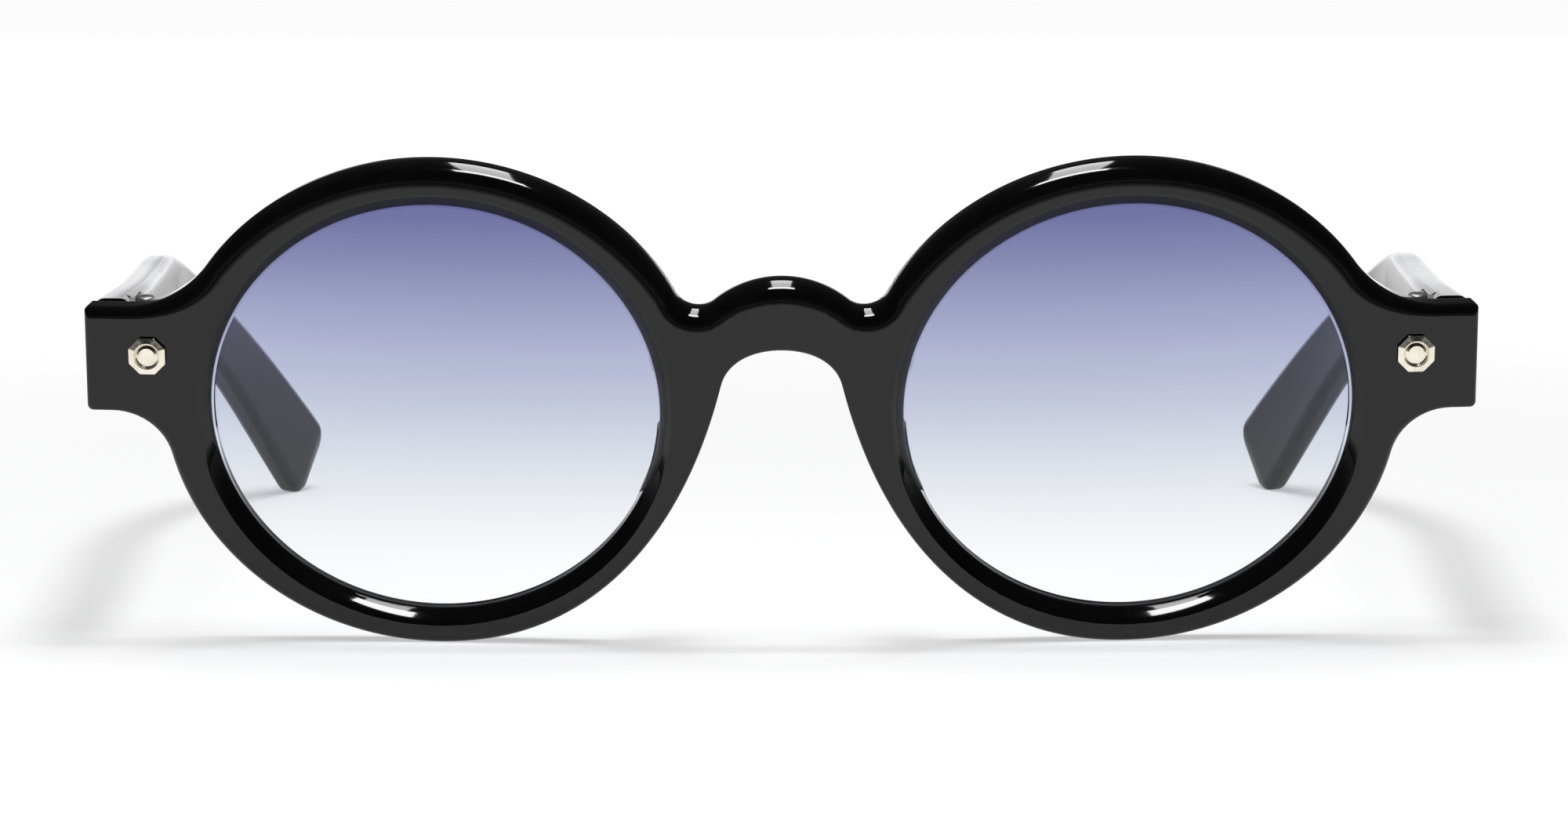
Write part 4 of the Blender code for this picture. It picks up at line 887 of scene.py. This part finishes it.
def make_temple():
    body = TEMPLE_LENGTH - TEMPLE_TIP_ROUND
    stations = [(body * k / TEMPLE_STEPS, 0.0) for k in range(TEMPLE_STEPS + 1)]
    for k in range(1, TIP_STEPS):
        angle = math.pi / 2 * k / TIP_STEPS
        drawn = TEMPLE_TIP_ROUND * (1.0 - math.cos(angle))
        stations.append((body + TEMPLE_TIP_ROUND * math.sin(angle), drawn))
    rings = []
    path = temple_path([place for place, _ in stations])
    for (place, drawn), (centre, slope, inward) in zip(stations, path):
        thickness = TEMPLE_THICKNESS + (TEMPLE_TIP_THICKNESS - TEMPLE_THICKNESS) * place / TEMPLE_LENGTH
        outward = Vector((math.cos(inward), math.sin(inward), 0.0))
        along = temple_direction(slope, inward)
        up = outward.cross(along)
        half_thickness = thickness / 2 - drawn * thickness / temple_height(place)
        full_half = temple_height(place) / 2
        section = temple_section(half_thickness, full_half - drawn, TEMPLE_EDGE)
        # The tip's end is cut at a slant: the higher a point of the section, the further it is from the end
        lean = up - along * TIP_SLANT * ease(place, TEMPLE_LENGTH - TIP_SLANT_LENGTH, TEMPLE_LENGTH)
        foot = up * full_half
        rings.append([centre + outward * spot.x + lean * (spot.y + full_half) - foot for spot in section])
    butt = Vector((-math.sin(WRAP_ANGLE), math.cos(WRAP_ANGLE), 0.0))
    on_butt = Vector((0.0, TEMPLE_BUTT_GAP - HINGE_STANDOFF, 0.0))
    along = temple_direction(-TEMPLE_SLOPE, 0.0)
    rings[0] = [point - along * ((point - on_butt).dot(butt) / along.dot(butt)) for point in rings[0]]
    bm = bmesh.new()
    loft(bm, rings)
    temple = placed("temple_arm_right", bm, TEMPLE)
    cut(temple, [*temple_pockets(), rivet_cutter("temple_rivet_seat", TEMPLE @ temple_rivet_matrix())])
    return smooth(temple, weighted=True)


# Nose pads


def make_nose_pad():
    side, _ = nose_curves(PAD_CURVE_STEPS)
    first, last = PAD_SHARES[0] * PAD_CURVE_STEPS, PAD_SHARES[1] * PAD_CURVE_STEPS
    rings = []
    for k in range(PAD_STEPS + 1):
        share = k / PAD_STEPS
        index = round(first + (last - first) * share)
        forward = (side[index + 1] - side[index - 1]).normalized()
        into = Vector((-forward.y, forward.x))
        swell = math.sqrt(math.sin(math.pi * (share * PAD_SWELL[1] + PAD_SWELL[0])))
        width = PAD_WIDTH * (PAD_END_WIDTH + (1.0 - PAD_END_WIDTH) * swell)
        near = side[index] + into * PAD_INSET
        ring = []
        for across, deep in PAD_SECTION:
            place = near + into * (width * across + PAD_LEAN * swell * deep)
            ring.append(bend(place.x, FRONT_THICKNESS + PAD_GAP + PAD_DEPTH * swell * deep, place.y))
        rings.append(ring)
    bm = bmesh.new()
    loft(bm, rings)
    pad = placed("nose_rest_right", bm, STAND)
    rounding = pad.modifiers.new("rounded", "SUBSURF")
    rounding.levels = PAD_LEVELS
    rounding.render_levels = PAD_LEVELS
    shaped(pad)
    return smooth(pad, sharp=math.radians(80.0))


# Materials


def maths(tree, operation, first, second, clamp=False):
    inputs = {0: first, 1: second}
    return add_node(tree, "ShaderNodeMath", inputs, operation=operation, use_clamp=clamp)[0]


def map_range(tree, value, reach, low=0.0, high=1.0, smooth=False):
    """Goes from low to high as the value goes over its reach."""
    inputs = {"Value": value, "From Min": reach[0], "From Max": reach[1], "To Min": low, "To Max": high}
    kind = "SMOOTHSTEP" if smooth else "LINEAR"
    return add_node(tree, "ShaderNodeMapRange", inputs, interpolation_type=kind)["Result"]


def noise(tree, vector, scale, detail):
    inputs = {"Vector": vector, "Scale": scale, "Detail": detail}
    return add_node(tree, "ShaderNodeTexNoise", inputs)[0]


def colours_along(tree, factor, stops, interpolation="LINEAR"):
    """A colour ramp over (position, colour) stops."""
    node = tree.nodes.new("ShaderNodeValToRGB")
    node.color_ramp.interpolation = interpolation
    elements = node.color_ramp.elements
    while len(elements) < len(stops):
        elements.new(0.5)
    for element, (position, colour) in zip(elements, stops):
        element.position = position
        element.color = (*colour, 1.0)
    feed(tree, node.inputs["Fac"], factor)
    return node.outputs["Color"]


def object_coordinates(tree):
    return add_node(tree, "ShaderNodeTexCoord")["Object"]


def surface_haze_group():
    """Uneven polish: broad cloudiness, and fine hairlines from handling, as a roughness and a height."""
    group = bpy.data.node_groups.new("surface_haze", "ShaderNodeTree")
    group.interface.new_socket("Vector", in_out="INPUT", socket_type="NodeSocketVector")
    for name in ("Roughness", "Cloud Size", "Cloud Amount", "Hairline Amount"):
        group.interface.new_socket(name, in_out="INPUT", socket_type="NodeSocketFloat")
    for name in ("Roughness", "Height"):
        group.interface.new_socket(name, in_out="OUTPUT", socket_type="NodeSocketFloat")
    given = add_node(group, "NodeGroupInput")
    scale = maths(group, "DIVIDE", 1000.0, given["Cloud Size"])
    cloud = noise(group, given["Vector"], scale, 3.0)
    fine = []
    for turn, stretch in HAIRLINES:
        inputs = {"Rotation": (turn, turn * 0.6, turn * 1.3), "Scale": stretch, "Vector": given["Vector"]}
        mapping = add_node(group, "ShaderNodeMapping", inputs)
        hair = maths(group, "SUBTRACT", noise(group, mapping["Vector"], 1.0, 1.0), HAIRLINE_START)
        fine.append(maths(group, "MULTIPLY", hair, HAIRLINE_CONTRAST, clamp=True))
    lines = maths(group, "MAXIMUM", *fine)
    clouded = maths(group, "SUBTRACT", cloud, 0.5)
    clouded = maths(group, "MULTIPLY", clouded, given["Cloud Amount"])
    scratched = maths(group, "MULTIPLY", lines, given["Hairline Amount"])
    total = maths(group, "ADD", given["Roughness"], clouded)
    total = maths(group, "ADD", total, scratched, clamp=True)
    add_node(group, "NodeGroupOutput", {"Roughness": total, "Height": scratched})
    return group


def new_material(name, metallic=0.0, transmission=0.0):
    material = bpy.data.materials.new(name)
    material.use_nodes = True
    shader = material.node_tree.nodes["Principled BSDF"]
    shader.inputs["Metallic"].default_value = metallic
    shader.inputs["Transmission Weight"].default_value = transmission
    return material, material.node_tree, shader


def polish(tree, shader, haze, roughness, cloud_size, cloud_amount, hairline_amount):
    """Gives a shader its uneven roughness, and returns the height of the hairlines."""
    inputs = {
        "Vector": object_coordinates(tree),
        "Roughness": roughness,
        "Cloud Size": cloud_size,
        "Cloud Amount": cloud_amount,
        "Hairline Amount": hairline_amount,
    }
    haze_outputs = add_node(tree, "ShaderNodeGroup", inputs, node_tree=haze)
    feed(tree, shader.inputs["Roughness"], haze_outputs["Roughness"])
    return haze_outputs["Height"]


def acetate_material(name, haze, roughness, cloud_size):
    """Polished black acetate: nearly black with a faint drift of its pigment, under a clear gloss."""
    material, tree, shader = new_material(name)
    pigment = noise(tree, object_coordinates(tree), ACETATE_GRAIN, 4.0)
    feed(tree, shader.inputs["Base Color"], colours_along(tree, pigment, ACETATE_PIGMENT))
    shader.inputs["IOR"].default_value = ACETATE_IOR
    polish(tree, shader, haze, roughness, cloud_size, cloud_amount=0.06, hairline_amount=0.05)
    return material


def metal_material(name, haze, dark, light, roughness, patch_size):
    """Metal whose colour drifts a little, with hairlines in its polish."""
    material, tree, shader = new_material(name, metallic=1.0)
    drift = noise(tree, object_coordinates(tree), 1000.0 / patch_size, 3.0)
    feed(tree, shader.inputs["Base Color"], colours_along(tree, drift, ((0.35, dark), (0.65, light))))
    height = polish(tree, shader, haze, roughness, cloud_size=2.0, cloud_amount=0.12, hairline_amount=0.12)
    bump = add_node(tree, "ShaderNodeBump", {"Strength": 1.0, "Distance": METAL_BUMP, "Height": height})
    feed(tree, shader.inputs["Normal"], bump["Normal"])
    return material


def lens_material(haze):
    """Gradient tint: grey-violet at the top, clear at the foot. It lets lamps through, as thin panes do."""
    material, tree, shader = new_material("lens_gradient_tint", transmission=1.0)
    inputs = {"Location": STAND_PLACE, "Rotation": (LEAN, 0.0, 0.0), "Vector": object_coordinates(tree)}
    upright = add_node(tree, "ShaderNodeMapping", inputs, vector_type="TEXTURE")
    height = add_node(tree, "ShaderNodeSeparateXYZ", {"Vector": upright["Vector"]})["Z"]
    span = 2 * OPENING_HALF_HEIGHT
    share = maths(tree, "DIVIDE", height, -span)
    share = maths(tree, "ADD", share, 0.5, clamp=True)
    stops = [(0.5 - place * MM / span, colour) for place, colour in LENS_TINTS]
    colour = colours_along(tree, share, stops, "B_SPLINE")
    feed(tree, shader.inputs["Base Color"], colour)
    shader.inputs["IOR"].default_value = LENS_IOR
    shader.inputs["Specular Tint"].default_value = LENS_SPECULAR
    polish(tree, shader, haze, roughness=0.0, cloud_size=12.0, cloud_amount=0.0, hairline_amount=0.02)
    clear = add_node(tree, "ShaderNodeBsdfTransparent", {"Color": colour})
    shadow = add_node(tree, "ShaderNodeLightPath")["Is Shadow Ray"]
    inputs = {"Fac": shadow, 1: shader.outputs["BSDF"], 2: clear["BSDF"]}
    mixed = add_node(tree, "ShaderNodeMixShader", inputs)
    feed(tree, tree.nodes["Material Output"].inputs["Surface"], mixed["Shader"])
    return material


def table_material():
    """White table that rises to full white away from the lamps where it is seen, and keeps the shadow.

    Its mirror image ends in front and at the sides: a painted pool of light, the white that reflections see
    only near the glasses.
    """
    material, tree, shader = new_material("white_table")
    shader.inputs["Base Color"].default_value = TABLE_GREY
    shader.inputs["Roughness"].default_value = TABLE_ROUGHNESS
    shader.inputs["Specular IOR Level"].default_value = 0.0
    place = object_coordinates(tree)
    distance = add_node(tree, "ShaderNodeVectorMath", {0: place}, operation="LENGTH")["Value"]
    lift = map_range(tree, distance, TABLE_REACH, *TABLE_LIFT, smooth=True)
    # Painted pool of light: what reflections see of the table's white fades with distance in front and at the
    # sides, but not behind
    near = map_range(tree, distance, MIRRORED_LIGHT_POOL_END, 1.0, 0.0, smooth=True)
    back = add_node(tree, "ShaderNodeSeparateXYZ", {"Vector": place})["Y"]
    mirrored_light_pool = maths(tree, "MAXIMUM", near, map_range(tree, back, MIRRORED_LIGHT_POOL_BACK))
    ray = add_node(tree, "ShaderNodeLightPath")
    mirrored = maths(tree, "MULTIPLY", ray["Is Glossy Ray"], mirrored_light_pool)
    shown = maths(tree, "ADD", ray["Is Camera Ray"], mirrored)
    shown = maths(tree, "ADD", shown, ray["Is Transmission Ray"], clamp=True)
    shader.inputs["Emission Color"].default_value = WHITE
    feed(tree, shader.inputs["Emission Strength"], maths(tree, "MULTIPLY", shown, lift))
    return material


def light_world():
    """A dim room, bright near the horizon and dimmer in front. What the camera itself sees of it is white."""
    world = bpy.data.worlds.new("studio_room")
    bpy.context.scene.world = world
    world.use_nodes = True
    tree = world.node_tree
    direction = add_node(tree, "ShaderNodeTexCoord")["Generated"]
    parts = add_node(tree, "ShaderNodeSeparateXYZ", {"Vector": direction})
    stops = [(height, (level, level, level * ROOM_BLUE)) for height, level in ROOM_LEVELS]
    room = colours_along(tree, parts["Z"], stops)
    front = map_range(tree, parts["Y"], (-ROOM_FRONT_REACH, ROOM_FRONT_REACH), ROOM_FRONT_LEVEL)
    seen = add_node(tree, "ShaderNodeLightPath")["Is Camera Ray"]
    shown = add_node(tree, "ShaderNodeMix", {"B": WHITE, "Factor": seen, "A": room}, data_type="RGBA")
    background = tree.nodes["Background"]
    feed(tree, background.inputs["Color"], shown["Result"])
    feed(tree, background.inputs["Strength"], maths(tree, "MAXIMUM", front, seen))


def soft_light(name, place, target, size, power, hidden_from):
    """A rectangular lamp that camera rays and transmitted rays don't see."""
    lamp = bpy.data.lights.new(name, "AREA")
    lamp.shape = "RECTANGLE"
    lamp.size, lamp.size_y = size
    lamp.energy = power
    item = bpy.data.objects.new(name, lamp)
    bpy.context.scene.collection.objects.link(item)
    item.location = place
    item.rotation_euler = (Vector(target) - Vector(place)).to_track_quat("-Z", "Y").to_euler()
    item.visible_camera = False
    item.visible_transmission = False
    item.visible_glossy = hidden_from != "glossy"
    item.visible_diffuse = hidden_from != "diffuse"


def make_camera():
    """The photograph's own view: a long lens from the front, a little above the glasses."""
    camera_data = bpy.data.cameras.new("camera")
    camera_data.lens = CAMERA_LENS
    camera_data.sensor_width = 36.0
    camera_data.clip_start = 0.01
    camera_data.clip_end = 20.0
    camera = bpy.data.objects.new("camera", camera_data)
    bpy.context.scene.collection.objects.link(camera)
    turn = Matrix.Rotation(math.pi / 2 - CAMERA_DOWN, 4, "X") @ Matrix.Rotation(CAMERA_ROLL, 4, "Z")
    camera.matrix_world = Matrix.Translation(CAMERA_PLACE) @ turn
    bpy.context.scene.camera = camera


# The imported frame, and where its front, sides and hinges stand

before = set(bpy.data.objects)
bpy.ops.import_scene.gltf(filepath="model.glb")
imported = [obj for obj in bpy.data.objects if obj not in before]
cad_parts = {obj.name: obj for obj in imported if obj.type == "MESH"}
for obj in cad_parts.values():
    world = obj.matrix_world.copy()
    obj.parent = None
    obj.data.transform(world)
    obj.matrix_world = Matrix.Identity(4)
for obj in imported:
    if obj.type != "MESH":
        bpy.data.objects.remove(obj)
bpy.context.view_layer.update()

STAND = Matrix.Translation(STAND_PLACE) @ Matrix.Rotation(LEAN, 4, "X")
SIDE = STAND @ Matrix.Translation(bend(LENS_CENTRE, 0.0, 0.0)) @ Matrix.Rotation(WRAP_ANGLE, 4, "Z")
TEMPLE = STAND @ Matrix.Translation(bend(HINGE_PLACE, FRONT_THICKNESS + HINGE_STANDOFF, RIVET_HEIGHT))
HINGE = TEMPLE @ Matrix.Rotation(WRAP_ANGLE, 4, "Z")

haze = surface_haze_group()
front_black = acetate_material("acetate_black_front", haze, roughness=0.06, cloud_size=14.0)
temple_black = acetate_material("acetate_black_temple", haze, roughness=0.18, cloud_size=18.0)
pad_black = acetate_material("acetate_black_pad", haze, roughness=0.12, cloud_size=6.0)
# Metals: darker and lighter colour, roughness, and the size of their patches in millimetres
rivet_gold = metal_material("rivet_pale_gold", haze, (0.80, 0.75, 0.62), (0.90, 0.85, 0.74), 0.12, 1.2)
leaf_steel = metal_material("hinge_leaf_steel", haze, (0.50, 0.49, 0.47), (0.64, 0.63, 0.60), 0.4, 1.5)
pin_steel = metal_material("hinge_pin_steel", haze, (0.54, 0.53, 0.51), (0.68, 0.67, 0.64), 0.35, 0.8)
wire_steel = metal_material("core_wire_steel", haze, (0.42, 0.42, 0.41), (0.56, 0.56, 0.55), 0.35, 1.5)
tint = lens_material(haze)

front = make_front()
front.data.materials.append(front_black)
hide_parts("front_frame")
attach(front, "front")

row = knuckle_tree(leaf_steel)
on_face, on_arm = SIDE @ rivet_seat(), TEMPLE @ temple_rivet_matrix()
right_pieces = [
    (make_lens(), tint, "lens_right", "gradient_lens", "front"),
    (make_nose_pad(), pad_black, "nose_pad_right", "black_acetate", "front"),
    (make_rivet("face_rivet_right", on_face), rivet_gold, "front_rivet_right", "pale_gold", "front"),
    (make_front_leaf(row), leaf_steel, "front_hinge_leaf_right", "hinge_steel", "front"),
    (make_screw(), pin_steel, "hinge_screw_right", "hinge_steel", "front"),
    (make_temple(), temple_black, "temple_right", "black_acetate", "temple_right"),
    (make_temple_leaf(row), leaf_steel, "temple_hinge_leaf_right", "hinge_steel", "temple_right"),
    (make_rivet("side_rivet_right", on_arm), rivet_gold, "temple_rivet_right", "pale_gold", "temple_right"),
]
for piece, material, node, slot, body in right_pieces:
    piece.data.materials.clear()
    piece.data.materials.append(material)
    twin = left_twin(piece)
    for item, side in ((piece, "right"), (twin, "left")):
        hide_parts(node.replace("right", side))
        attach(item, body.replace("right", side))

for side in ("left", "right"):
    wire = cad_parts["core_wire_" + side]
    wire.data.materials.clear()
    wire.data.materials.append(wire_steel)

# Table, light and camera

table = bmesh.new()
bmesh.ops.create_grid(table, x_segments=1, y_segments=1, size=6.0)
floor = placed("table_top", table, Matrix.Identity(4))
floor.data.materials.append(table_material())

light_world()
for lamp_values in LAMPS:
    soft_light(*lamp_values)
make_camera()

bpy.context.scene.view_settings.view_transform = "Standard"
